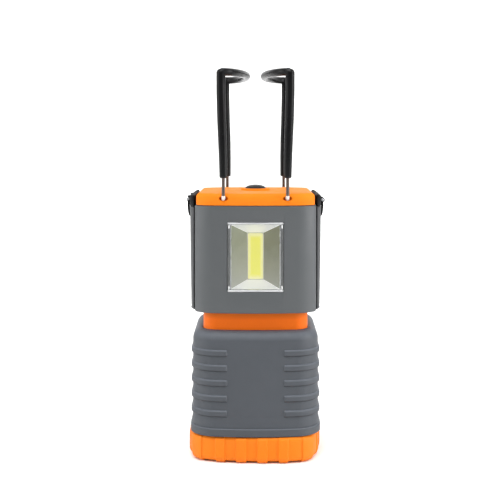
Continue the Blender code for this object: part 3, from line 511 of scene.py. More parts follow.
def make_cell_wrap():
    """Cell jacket: dark blue body with a copper-coloured top band."""
    n = Nodes("cell_wrap")
    sep = n.node("ShaderNodeSeparateXYZ")
    n.link(n.coord.outputs["Object"], sep.inputs[0])
    z = sep.outputs["Z"]
    top = hi("battery_cell_1").z * MM
    band = n.span(z, top - 0.0161, top - 0.0158, 0.0, 1.0)
    cap_end = n.span(z, top - 0.0021, top - 0.0019, 0.0, 1.0)
    colour = n.mix(band, lin((34, 48, 78)), lin((186, 118, 62)))
    colour = n.mix(cap_end, colour, lin((190, 190, 190)))
    n.set("Base Color", n.mix(n.span(n.noise(40, 3, 0.5), 0.3, 0.7, 0.0, 0.3), colour, lin((20, 24, 34))))
    n.set("Metallic", n.math("MAXIMUM", n.math("MULTIPLY", band, 0.5), cap_end))
    n.set("Roughness", n.span(n.noise(60, 3, 0.5), 0.3, 0.7, 0.26, 0.40))
    n.set("Normal", n.bump(n.noise(500, 3, 0.5), 0.12, 0.0001))
    return n.mat


CELL = make_cell_wrap()


def make_reflector(name, tint, rough, dirt, metallic=0.82, painted_glow=0.0, low=None):
    """Vacuum-metallised plastic with a faint orange-peel and haze; the glow option adds emission as a painted
    reflection, and the low option lightens the lower end as a painted reflection.
    """
    n = Nodes(name)
    haze = n.noise(120.0, 4.0, 0.6)
    colour = n.mix(n.span(haze, 0.35, 0.7, 0.0, 1.0), tint, shade(tint, dirt))
    if low:
        # painted reflection: the lower end is lightened, mirroring the pale facet beneath it
        height = n.node("ShaderNodeSeparateXYZ")
        n.link(n.coord.outputs["Object"], height.inputs[0])
        drift = n.math("ADD", height.outputs["Z"], n.math("MULTIPLY", n.noise(60.0, 3.0, 0.6), 0.012))
        colour = n.mix(n.span(drift, (WIN_Z + 14.0) * MM, (WIN_Z - 14.0) * MM, 0.0, 1.0), colour, low)
    n.set("Base Color", colour)
    n.set("Metallic", metallic)
    if painted_glow:
        # painted reflection: emission brightens the metallised face
        n.set("Emission Color", colour)
        n.set("Emission Strength", painted_glow)
    n.set("Roughness", n.span(haze, 0.3, 0.7, rough, rough + 0.12))
    n.set("Normal", n.bump(n.noise(700.0, 2.0, 0.5), 0.10, 0.0001))
    return n.mat


# painted reflection: these reflector finishes glow a little by emission, the glint most
REFLECT_FACE = make_reflector("reflector_bright", (0.97, 0.975, 0.965), 0.38, 0.95, 0.55, 0.30)
REFLECT_SIDE = make_reflector("reflector_side", lin((184, 188, 160)), 0.36, 0.86, 0.70, 0.09, lin((212, 213, 202)))
# painted shade: a darker copy of the side finish for the facets facing away from the stronger light
REFLECT_SIDE_SHADED = make_reflector("reflector_side_shaded", lin((158, 159, 126)), 0.36, 0.86, 0.70, 0.05, lin((196, 197, 182)))
REFLECT_GLINT = make_reflector("reflector_glint", (0.99, 0.99, 0.99), 0.30, 0.97, 0.45, 0.55)
REFLECT_RIM = make_reflector("reflector_rim", lin((236, 238, 240)), 0.22, 0.9)
REFLECT_EDGE = make_reflector("reflector_edge", lin((120, 122, 122)), 0.40, 0.85, 0.3)


def make_cob(face_axis):
    """Phosphor strip: saturated yellow in the middle, paler towards its dam,
    with the faint row of dies under the gel."""
    n = Nodes("cob_phosphor_" + face_axis)
    sep = n.node("ShaderNodeSeparateXYZ")
    n.link(n.coord.outputs["Object"], sep.inputs[0])
    across = n.math("ABSOLUTE", sep.outputs["X" if face_axis == "y" else "Y"], 0.0)
    up = n.math("ABSOLUTE", n.math("SUBTRACT", sep.outputs["Z"], WIN_Z * MM), 0.0)
    rim = n.math("MAXIMUM", n.span(across, 0.0026, 0.0047, 0.0, 1.0), n.span(up, 0.0118, 0.0146, 0.0, 1.0))
    dies = n.node("ShaderNodeTexVoronoi")
    dies.inputs["Scale"].default_value = 420.0
    dies.inputs["Randomness"].default_value = 0.15
    n.link(n.coord.outputs["Object"], dies.inputs["Vector"])
    dot = n.span(dies.outputs["Distance"], 0.0, 0.35, 0.35, 0.0)
    colour = n.mix(rim, lin((238, 234, 88)), lin((244, 240, 176)))
    colour = n.mix(dot, colour, lin((232, 218, 60)))
    n.set("Base Color", colour)
    n.set("Emission Color", colour)
    n.set("Emission Strength", 0.44)
    n.set("Roughness", n.span(n.noise(300.0, 3.0, 0.5), 0.3, 0.7, 0.25, 0.42))
    n.set("Normal", n.bump(n.noise(600.0, 3.0, 0.5), 0.3, 0.00015))
    return n.mat


def make_board_white():
    n = Nodes("cob_board_white")
    n.set("Base Color", n.mix(n.span(n.noise(80.0, 3.0, 0.5), 0.3, 0.7, 0.0, 1.0), lin((236, 236, 230)), lin((222, 223, 216))))
    n.set("Roughness", n.span(n.noise(200.0, 2.0, 0.5), 0.3, 0.7, 0.3, 0.45))
    n.set("Normal", n.bump(n.noise(900.0, 3.0, 0.5), 0.15, 0.00005))
    return n.mat


COB_Y = make_cob("y")
COB_X = make_cob("x")
COB_BOARD = make_board_white()


def make_lens(name, milky, tint):
    """Clear cover: see-through with a surface sheen; milky sets how much of a
    frosted white it carries, for its moulded rim."""
    n = Nodes(name)
    n.tree.nodes.remove(n.bsdf)
    out = n.tree.nodes["Material Output"]
    clear = n.node("ShaderNodeBsdfTransparent")
    clear.inputs["Color"].default_value = (*tint, 1.0)
    glossy = n.node("ShaderNodeBsdfGlossy")
    n.link(n.span(n.noise(60.0, 3.0, 0.5), 0.3, 0.7, 0.03, 0.10), glossy.inputs["Roughness"])
    frost = n.node("ShaderNodeBsdfDiffuse")
    frost.inputs["Color"].default_value = (0.92, 0.93, 0.94, 1.0)
    normal = n.bump(n.noise(45.0, 2.0, 0.5), 0.05, 0.0006)
    for b in (glossy, frost):
        n.link(normal, b.inputs["Normal"])
    body = n.node("ShaderNodeMixShader")
    dust = n.span(n.noise(1400.0, 3.0, 0.6), 0.55, 0.8, milky, min(1.0, milky + 0.10))
    n.link(dust, body.inputs[0])
    n.link(clear.outputs[0], body.inputs[1])
    n.link(frost.outputs[0], body.inputs[2])
    fres = n.node("ShaderNodeFresnel")
    fres.inputs["IOR"].default_value = 1.45
    n.link(normal, fres.inputs["Normal"])
    top = n.node("ShaderNodeMixShader")
    n.link(n.math("MULTIPLY", fres.outputs[0], 0.9), top.inputs[0])
    n.link(body.outputs[0], top.inputs[1])
    n.link(glossy.outputs[0], top.inputs[2])
    n.link(top.outputs[0], out.inputs["Surface"])
    return n.mat


LENS = make_lens("lens_clear", 0.02, (0.985, 0.99, 0.99))
LENS_RIM = make_lens("lens_rim", 0.45, (0.95, 0.96, 0.97))

CAD_MATERIALS = {
    "zinc_steel": ZINC, "aluminium": ALU, "board_green": BOARD, "lead_red": LEAD_RED, "lead_black": LEAD_BLACK,
    "black_plastic": HOUSING, "black_rubber": SEAL, "cell_wrap": CELL, "orange_plastic": ORANGE,
    "grey_plastic": GREY, "grey_rubber": GREY_RUBBER, "wire_steel": WIRE, "button_black": BUTTON,
    "clear_lens": LENS, "reflector": REFLECT_FACE, "cob_phosphor": COB_BOARD,
}
for part in frame["record"]["subparts"]:
    node = frame["nodes"][part["node"]]
    node.data.materials.clear()
    node.data.materials.append(CAD_MATERIALS[part["material_slot"]])


# ------------------------------------------------------------------ base cap
def rib_field(plan_q):
    """Depth of the upright recesses at every outline point: five on each
    face, with softly rounded sides."""
    out = []
    for x, y, nx, ny in plan_q:
        # coordinate along the nearest face
        along = x if abs(ny) >= abs(nx) else y
        d = 0.0
        for centre, half_w in ((0.0, 3.7), (14.1, 3.75), (28.6, 4.9)):
            gap = half_w - abs(abs(along) - centre)
            d = max(d, float(npsmooth(np.array((gap + 0.25) / 0.5))))
        out.append(d)
    return np.array(out)


def base_corner():
    """Corner of the base outline, whose four faces are all bowed."""
    r, rho = CORNER_R, BOW_R
    front, side = rho - HALF_D, rho - BASE_HALF_W
    cx, cy = 23.9, -23.9
    for _ in range(20):
        cx = math.sqrt((rho - r) ** 2 - cy * cy) - side
        cy = front - math.sqrt((rho - r) ** 2 - cx * cx)
    return r, rho, front, side, cx, cy


def fine_base_outline():
    r, rho, front, side, cx, cy = base_corner()
    edges = [round(e + d, 3) for e in (3.7, 10.35, 17.85) for d in (-0.45, -0.3, -0.15, 0.0, 0.15, 0.3, 0.45)]
    phi = math.asin(cx / (rho - r))
    psi = math.asin(-cy / (rho - r))
    q = []
    for x in sorted(set([round(v, 3) for v in spaced(0.0, 24.4, 26)] + edges)):
        if x < rho * math.sin(phi) - 0.1:
            dy = math.sqrt(rho * rho - x * x)
            q.append((x, front - dy, x / rho, -dy / rho))
    first, last = phi, math.pi / 2 - psi
    for k in range(65):
        a = first + (last - first) * k / 64
        q.append((cx + r * math.sin(a), cy - r * math.cos(a), math.sin(a), -math.cos(a)))
    for s in sorted(set([round(v, 3) for v in spaced(0.0, 24.4, 26)] + edges), reverse=True):
        if s < rho * math.sin(psi) - 0.1:
            dx = math.sqrt(rho * rho - s * s)
            q.append((dx - side, -s if s > 1e-6 else 0.0, dx / rho, -s / rho))
    return whole(q)


RIB_DEPTH = 0.95


def make_base():
    plan = fine_base_outline()
    ribs = rib_field(plan)
    loops = []
    foot = 4.4
    for k in range(0, 11):
        a = math.pi / 2 * k / 10
        z = foot * (1 - math.cos(a)) if k else 0.0
        ins = foot * 0.92 * (1 - math.sin(a))
        # the recesses stop short of the floor, so the ribs stand as feet
        lift = ribs * 1.0 * (1.0 - smooth(z / 2.0))
        loops.append(at(plan, ins + ribs * RIB_DEPTH * smooth((z + 0.4) / 1.6), z + lift))
    for z in (5.0, 8.0, 11.0, 12.6, BASE_TOP - 3.0):
        loops.append(at(plan, ribs * RIB_DEPTH, z))
    for z, ins in edge_round(0, BASE_TOP, 2.5, 9):
        loops.append(at(plan, ins + ribs * RIB_DEPTH * (1.0 - 0.8 * (ins / 2.5)), z))
    loops.append(at(plan, 3.2, BASE_TOP))
    n = len(plan)
    start = -math.pi / 2

    def ring(r, z):
        return [(r * math.cos(start + 2 * math.pi * k / n), r * math.sin(start + 2 * math.pi * k / n), z) for k in range(n)]

    loops.append(ring(40.75, BASE_TOP))
    loops.append(ring(40.3, BASE_TOP - 0.45))
    # three plain thread turns on the bore's wall
    for k in range(3):
        zc = 14.6 - 2.6 * k
        for dz, out in ((0.9, 0.0), (0.45, 0.0), (0.2, 0.0)):
            loops.append(ring(40.3, zc + dz))
        loops.append(ring(40.12, zc))
        for dz in (0.2, 0.45, 0.9):
            loops.append(ring(40.3, zc - dz))
    loops.append(ring(40.3, 6.5))
    loops.append(ring(40.0, 6.1))
    loops.append(ring(37.9, 6.1))
    loops.append(ring(37.6, 5.8))
    loops.append(ring(37.6, 2.9))
    loops.append(ring(37.3, 2.6))
    verts, faces = skin(loops, cap=True)
    base = build("base_cap_shell", verts, faces, None, "orange_plastic", ORANGE, sharp=30)
    base.data.transform(Matrix.Rotation(math.radians(BASE_TURN), 4, "Z"))
    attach(base, "base")
    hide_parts("base_cap")
    return base


make_base()


# ------------------------------------------------------------------ grip sleeve
def sleeve_inset(z):
    if z <= 21.9:
        return 0.75
    if z <= 22.6:
        return 0.75 + 0.95 * (1.0 - math.sqrt(max(0.0, 1.0 - ((z - 21.9) / 0.7) ** 2)))
    if z <= 31.0:
        return 1.7 + 0.5 * smooth((z - 22.6) / 8.4)
    if z <= SHOULDER:
        return 2.2
    s = min(1.0, (z - SHOULDER) / (SLEEVE_TOP - SHOULDER))
    return 2.2 + 6.5 * (1.0 - math.sqrt(max(0.0, 1.0 - s * s)))


def bar_field(plan, z):
    """Height of the grip bars at each outline point for a section at z."""
    out = np.zeros(len(plan))
    x = np.abs(plan[:, 0])
    on_face = np.abs(plan[:, 3]) > 0.86
    s = np.where(on_face, x - BAR_X, 50.0)
    rc = 1.1
    for zc in BAR_Z:
        dz = abs(z - zc)
        if dz > BAR_HALF + 0.3:
            continue
        qx = -s + rc
        qz = dz - BAR_HALF + rc
        sd = np.minimum(np.maximum(qx, qz), 0.0) + np.hypot(np.maximum(qx, 0.0), max(qz, 0.0)) - rc
        t = np.clip(-sd / 1.05, 0.0, 1.0)
        soft = np.sin(t * math.pi / 2)
        out = np.maximum(out, BAR_OUT * soft)
    return out


def make_sleeve():
    cx, cy, phi, bow_y = frame_of()
    xt = BOW_R * math.sin(phi)
    xs = spaced(0.0, 16.0, 8) + spaced(17.0, 21.8, 20) + spaced(22.3, xt - 0.3, 3)
    q = quarter(xs, corner=26)
    q += [(HALF_W, y, 1.0, 0.0) for y in (-18.0, -12.0, -6.0, 0.0)]
    plan = whole(q)
    zs = [SLEEVE_LOW + 0.15, SLEEVE_LOW + 0.5, 19.5, 21.6, 21.9, 22.1, 22.25, 22.4, 22.5, 22.56, 22.6, 23.6, 25.0, 26.0, 27.0, 28.0, 29.0]
    for zc in BAR_Z:
        zs += [zc + d for d in (-2.45, -2.25, -2.1, -1.9, -1.65, -1.35, -1.0, -0.55, 0.0, 0.55, 1.0, 1.35, 1.65, 1.9, 2.1, 2.25, 2.45)]
    for a, b in zip(BAR_Z[:-1], BAR_Z[1:]):
        zs += [a + 3.6, (a + b) / 2, b - 3.6]
    zs += [75.6, 77.4, 79.0, 79.8, 80.6, 81.3, 82.0, 82.6, 83.2, 83.7, 84.2, 84.6, 84.95, 85.25, 85.5, 85.7, 85.85, 85.95]
    zs = sorted(set(round(z, 3) for z in zs))
    loops = [at(plan, 1.1, SLEEVE_LOW)]
    for z in zs:
        loops.append(at(plan, sleeve_inset(z) - bar_field(plan, z) * (1.0 if z < SHOULDER else 0.0), z))
    loops.append(at(plan, 8.75, SLEEVE_TOP))
    loops.append(at(plan, 8.88, SLEEVE_TOP - 0.12))
    loops.append(at(plan, 8.95, SLEEVE_TOP - 0.45))
    for ins, z in ((8.95, 83.5), (7.0, 83.4), (7.0, 79.6), (4.45, 78.8), (4.45, SLEEVE_LOW + 0.3), (4.6, SLEEVE_LOW)):
        loops.append(at(plan, ins, z))
    verts, faces = skin(loops, closed=True)
    obj = build("grip_sleeve_shell", verts, faces, "lantern", "grey_rubber", GREY_RUBBER, sharp=42)
    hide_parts("grip_sleeve")
    return obj


make_sleeve()


# ------------------------------------------------------------------ neck
def make_neck():
    cx, cy, phi, bow_y = frame_of()
    xs = spaced(0.0, BOW_R * math.sin(phi), 10)[:-1]
    q = quarter(xs, corner=22) + [(HALF_W, 0.0, 1.0, 0.0)]
    plan = whole(q)
    n = len(plan)
    start = -math.pi / 2

    def ring(r, z):
        return [(r * math.cos(start + 2 * math.pi * k / n), r * math.sin(start + 2 * math.pi * k / n), z) for k in range(n)]

    loops = []
    for ins, z in ((7.5, 78.8), (7.3, 79.0), (7.3, 82.9), (7.5, 83.1), (9.0, 83.1), (9.2, 83.3), (9.2, 86.4)):
        loops.append(at(plan, ins, z))
    # straight up to the head
    for z, ins in ((88.0, 9.2), (96.6, 9.25), (97.3, 9.25), (NECK_TOP, 9.6)):
        loops.append(at(plan, ins, z))
    for r, z in ((27.3, NECK_TOP), (27.0, NECK_TOP + 0.3), (27.0, 102.2), (26.7, 102.5), (23.3, 102.5), (23.0, 102.2), (23.0, 79.1), (23.3, 78.8)):
        loops.append(ring(r, z))
    verts, faces = skin(loops, closed=True)
    neck = build("neck_collar_shell", verts, faces, None, "orange_plastic", ORANGE_NECK_SHADED, sharp=35)
    tools = []
    for k in range(4):
        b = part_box("neck_screw_%d" % (k + 1))
        c = (b[0] + b[1]) * 500.0
        tools.append(("DIFFERENCE", tool("neck_bore_%d" % k, *skin(turn_profile([(1.45, 87.0), (1.45, 105.0)], 20, c.x, c.y)))))
    carve(neck, tools, bevel=0)
    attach(neck, "lantern")
    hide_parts("neck_collar")


make_neck()


# ------------------------------------------------------------------ head shells
def lug_points(ax, az, r, reach, n=12):
    pts = [(reach, az - r)]
    for k in range(n + 1):
        a = -math.pi / 2 + math.pi * k / n
        pts.append((ax + r * math.cos(a), az + r * math.sin(a)))
    pts.append((reach, az + r))
    return pts


def make_shell(front):
    tag = "front" if front else "rear"
    cx, cy, phi, bow_y = frame_of()
    xs = spaced(0.0, BOW_R * math.sin(phi), 12)[:-1]
    q = quarter(xs, corner=20, xlim=SHELL_X, fillet=1.2, nfil=6)
    plan = half(q, -0.15)
    loops = []
    r = 1.5
    for k in range(7):
        a = math.pi / 2 * k / 6
        loops.append(at(plan, r * (1 - math.sin(a)), HEAD_LOW + r * (1 - math.cos(a))))
    loops += [at(plan, 0.0, HEAD_TOP - 0.25), at(plan, 0.25, HEAD_TOP)]
    # the parting face stays on its plane
    for lp in loops:
        lp[0] = (lp[0][0], -0.15, lp[0][2])
        lp[-1] = (lp[-1][0], -0.15, lp[-1][2])
    verts, faces = skin(loops)
    shell = build("head_%s_cover" % tag, verts, faces, None, "grey_plastic", GREY, smooth=False)
    wall = 2.2
    q_in = quarter(xs, corner=12, xlim=SHELL_X, fillet=2.3, nfil=3)
    plan_in = half(q_in, 2.0)
    inner = [at(plan_in, wall, HEAD_LOW + wall), at(plan_in, wall, HEAD_TOP + 2.0)]
    tools = [("DIFFERENCE", tool("hollow", *skin(inner)))]
    tools.append(("DIFFERENCE", tool("mouth", *skin(turn_profile([(27.35, HEAD_LOW - 2), (27.35, HEAD_LOW + 4)], 72)))))
    for sx in (-1, 1):
        pts = [(sx * x, z) for x, z in lug_points(DOOR_AXIS.x, DOOR_AXIS.z, 1.15, 38.8)]
        tools.append(("UNION", prism("lug", pts, "y", -27.0, -22.6)))
        tools.append(("DIFFERENCE", prism("lug_bore", ellipse(0.75, 0.75, 20, sx * DOOR_AXIS.x, DOOR_AXIS.z), "y", -28.0, -21.6)))
        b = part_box("neck_screw_1")
        c = (b[0] + b[1]) * 500.0
        tools.append(("DIFFERENCE", tool("floor_bore", *skin(turn_profile([(1.45, HEAD_LOW - 2), (1.45, HEAD_LOW + 4)], 20, sx * abs(c.x), -abs(c.y))))))
    for k in range(4):
        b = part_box("rear_screw_%d" % (k + 1))
        c = (b[0] + b[1]) * 500.0
        if front:
            tools.append(("UNION", prism("post", ellipse(3.0, 3.0, 24, c.x, c.z), "y", -42.0, 28.0)))
            tools.append(("DIFFERENCE", prism("post_bore", ellipse(1.2, 1.2, 20, c.x, c.z), "y", 14.0, 30.0)))
        else:
            tools.append(("UNION", prism("boss", ellipse(3.4, 3.4, 24, c.x, c.z), "y", -42.2, -28.4)))
            tools.append(("DIFFERENCE", prism("boss_bore", ellipse(1.4, 1.4, 20, c.x, c.z), "y", -46.0, -27.0)))
            tools.append(("DIFFERENCE", prism("counterbore", ellipse(2.85, 2.85, 32, c.x, c.z), "y", -48.0, -41.2)))
    win = round_rect(WIN_HW + 0.2, WIN_HH + 0.2, 0.9, 4, 0.0, WIN_Z)
    tools.append(("DIFFERENCE", prism("window", win, "y", -52.0, -36.0)))
    tools.append(("DIFFERENCE", prism("side_window", [(min(2.0, y), z) for y, z in win], "x", -52.0, 52.0)))
    if not front:
        flip = Matrix.Scale(-1.0, 4, Vector((0, 1, 0)))
        for o in [shell] + [t for _, t in tools]:
            o.data.transform(flip)
            o.data.flip_normals()
    carve(shell, tools, bevel=0.28, segments=2, sharp=38, angle=50)
    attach(shell, "lantern")
    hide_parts("head_front_shell" if front else "head_rear_shell")
    return shell


make_shell(True)
make_shell(False)


# ------------------------------------------------------------------ top cap
def make_cap():
    cx, cy, phi, bow_y = frame_of()
    xs = spaced(0.0, BOW_R * math.sin(phi), 14)[:-1]
    q = quarter(xs, corner=22, xlim=CAP_X, fillet=2.8, nfil=7) + [(CAP_X, 0.0, 1.0, 0.0)]
    plan = whole(q)
    loops = [at(plan, 0.45, CAP_LOW), at(plan, 0.12, CAP_LOW + 0.12), at(plan, 0.0, CAP_LOW + 0.4), at(plan, 0.0, CAP_TOP - 2.6)]
    loops += [at(plan, ins, z) for z, ins in edge_round(0, CAP_TOP, 2.6, 11)]
    cap = build("top_cap_shell", *skin(loops), None, "orange_plastic", ORANGE_CAP, smooth=False)
    roof = 175.0
    q_in = quarter(xs, corner=10, xlim=CAP_X, fillet=2.4, nfil=3) + [(CAP_X, 0.0, 1.0, 0.0)]
    plan_in = whole(q_in)
    ring_pts = [(10.35, roof + 0.5), (10.35, CAP_TOP - 0.02), (10.22, CAP_TOP + 0.18), (10.1, CAP_TOP + 0.45)]
    ring_pts += [(10.1 - 0.75 * (1 - math.cos(a)), COLLAR_TOP - 0.75 + 0.75 * math.sin(a)) for a in (0.0, 0.3, 0.6, 0.9, 1.2, 1.5708)]
    tools = [
        ("DIFFERENCE", tool("roof", *skin([at(plan_in, 2.0, CAP_LOW - 2.0), at(plan_in, 2.0, roof)]))),
        ("UNION", tool("collar", *skin(turn_profile(ring_pts, 72)))),
        ("DIFFERENCE", tool("button_bore", *skin(turn_profile([(7.55, CAP_LOW), (7.55, COLLAR_TOP - 0.5), (7.9, COLLAR_TOP + 0.05), (8.2, COLLAR_TOP + 2.0)], 72)))),
    ]
    for sx in (-1, 1):
        px = sx * PIVOT.x
        for sy in (-1, 1):
            a, b = sorted((sy * 37.6, sy * 42.6))
            block = round_rect(3.1, 3.0, 0.5, 3, px, roof - 2.0)
            tools.append(("UNION", prism("pivot_block", block, "y", a, b)))
        tools.append(("DIFFERENCE", prism("pivot_bore", ellipse(1.45, 1.45, 24, px, PIVOT.z), "y", -50.0, 50.0)))
        for sy in (-1, 1):
            a, b = sorted((sy * 40.6, sy * 47.0))
            tools.append(("DIFFERENCE", prism("pivot_recess", ellipse(2.95, 1.6, 36, px, PIVOT.z + 0.1), "y", a, b)))
    carve(cap, tools, bevel=0.16, segments=2, sharp=38, angle=52)
    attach(cap, "lantern")
    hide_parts("top_cap")


make_cap()


# ------------------------------------------------------------------ button
def make_button():
    r = 7.2
    prof = [(0.4, 164.25), (1.7, 164.25), (2.0, 164.5), (2.0, 170.3), (2.2, 170.5), (8.7, 170.5), (9.0, 170.7), (9.0, 171.8), (8.8, 172.0), (7.45, 172.0), (r, 172.25), (r, 176.6)]
    side_top = COLLAR_TOP - 0.25
    prof.append((r, side_top - 0.2))
    # domed top
    height = BUTTON_TOP - side_top
    for k in range(1, 17):
        a = math.pi / 2 * k / 16
        rr = r * math.cos(a)
        zz = side_top + height * math.sin(a) ** 0.92
        if rr > 0.35:
            prof.append((rr, zz))
    prof.append((0.3, BUTTON_TOP))
    verts, faces = skin(turn_profile(prof, 72))
    b = build("power_button_dome", verts, faces, "button", "button_black", BUTTON, sharp=40)
    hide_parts("power_button")


make_button()


# ------------------------------------------------------------------ side doors
def door_plan(sx, corner=20, nfil=5, x_in=None, fillet=0.55):
    """Section of a side door as (x, y, nx, ny, face): face is 1 on its outer
    side and 0 on its inner side."""
    x_in = DOOR_IN if x_in is None else x_in
    cx, cy, phi, bow_y = frame_of()
    f = fillet
    fx = x_in + f
    a0 = math.asin((fx - cx) / (CORNER_R - f))
    fy = cy - (CORNER_R - f) * math.cos(a0)
    pts = []
    for k in range(nfil + 1):
        a = -math.pi / 2 + (a0 + math.pi / 2) * k / nfil
        pts.append((fx + f * math.sin(a), fy - f * math.cos(a), math.sin(a), -math.cos(a), 0.0 if k < nfil - 1 else 1.0))
    for k in range(1, corner + 1):
        a = a0 + (math.pi / 2 - a0) * k / corner
        pts.append((cx + CORNER_R * math.sin(a), cy - CORNER_R * math.cos(a), math.sin(a), -math.cos(a), 1.0))
    pts += [(HALF_W, y, 1.0, 0.0, 1.0) for y in (-20.0, -15.0, -10.0, -5.0)]
    pts = pts + [(HALF_W, 0.0, 1.0, 0.0, 1.0)] + [(x, -y, nx, -ny, o) for x, y, nx, ny, o in reversed(pts)]
    return np.array([(sx * x, y, sx * nx, ny, o) for x, y, nx, ny, o in pts])


def door_loop(plan, inset_out, inset_in, z):
    """One section: the outer side is drawn in by inset_out, the inner by
    inset_in, and the foot's corners are rounded upwards."""
    ins = np.where(plan[:, 4] > 0.5, inset_out, inset_in)
    x = plan[:, 0] - plan[:, 2] * ins
    y = plan[:, 1] - plan[:, 3] * ins
    t = np.clip((np.abs(y) - 30.2) / 4.4, 0.0, 1.0)
    lift = 2.6 * (1.0 - np.sqrt(1.0 - t * t * 0.96)) if z < DOOR_LOW + 8.0 else 0.0
    fade = max(0.0, 1.0 - (z - DOOR_LOW) / 6.0)
    zz = z + lift * fade
    return [(float(a), float(b), float(c)) for a, b, c in zip(x, y, np.broadcast_to(zz, (len(plan),)))]


def door_taper(z):
    """How far the door's outer face stands in from the outline at z."""
    return 1.1 * (LATCH_TOP - z) / (LATCH_TOP - DOOR_LOW)


def make_door(side, sx):
    plan = door_plan(sx)
    ax, az = DOOR_AXIS.x, DOOR_AXIS.z
    loops = []
    for z, o, i in ((0.0, 1.15, 0.55), (0.12, 0.85, 0.45), (0.35, 0.52, 0.30), (0.7, 0.25, 0.15), (1.1, 0.08, 0.05), (1.6, 0.0, 0.0)):
        loops.append(door_loop(plan, door_taper(DOOR_LOW + z) + o, i, DOOR_LOW + z))
    for k in range(1, 9):
        z = DOOR_LOW + 1.6 + (DOOR_TOP - 0.3 - DOOR_LOW - 1.6) * k / 8
        loops.append(door_loop(plan, door_taper(z), 0.0, z))
    loops.append(door_loop(plan, door_taper(DOOR_TOP) + 0.09, 0.09, DOOR_TOP - 0.09))
    loops.append(door_loop(plan, door_taper(DOOR_TOP) + 0.3, 0.3, DOOR_TOP))
    door = build("side_door_panel_" + side, *skin(loops), None, "grey_plastic", GREY_DOOR_SHADED, smooth=False)
    tools = []
    for sy in (-1, 1):
        a, b = sorted((sy * 22.2, sy * 27.4))
        xa, xb = sorted((sx * 39.0, sx * 46.0))
        tools.append(("DIFFERENCE", prism("slot", round_rect((b - a) / 2, 3.0, 0.5, 3, (a + b) / 2, az - 1.35), "x", xa, xb)))
    tools.append(("DIFFERENCE", prism("bore", ellipse(0.75, 0.75, 20, sx * ax, az), "y", -28.5, 28.5)))
    xa, xb = sorted((sx * 39.0, sx * (DOOR_IN + 1.1)))
    tools.append(("DIFFERENCE", prism("pocket", round_rect(24.0, 27.0, 2.0, 5, 0.0, 135.0), "x", xa, xb)))
    carve(door, tools, bevel=0.18, segments=2, sharp=38, angle=50)
    mod = door.modifiers.new("flat", "WEIGHTED_NORMAL")
    mod.keep_sharp = True
    mod.weight = 100
    apply_all(door)
    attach(door, "door_" + side)
    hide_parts("side_door_" + side)
    # stiffening ribs across the pocket behind the door
    for k, zc in enumerate((121.5, 135.0, 148.5)):
        xa, xb = sx * (DOOR_IN + 0.25), sx * (DOOR_IN + 1.3)
        pts = round_rect(23.6, 0.6, 0.3, 3, 0.0, zc)
        rib = build("door_rib_%s_%d" % (side, k + 1), *skin([[(x, p, q) for p, q in pts] for x in (xa, xb)]), "door_" + side, "grey_plastic", GREY, sharp=30)


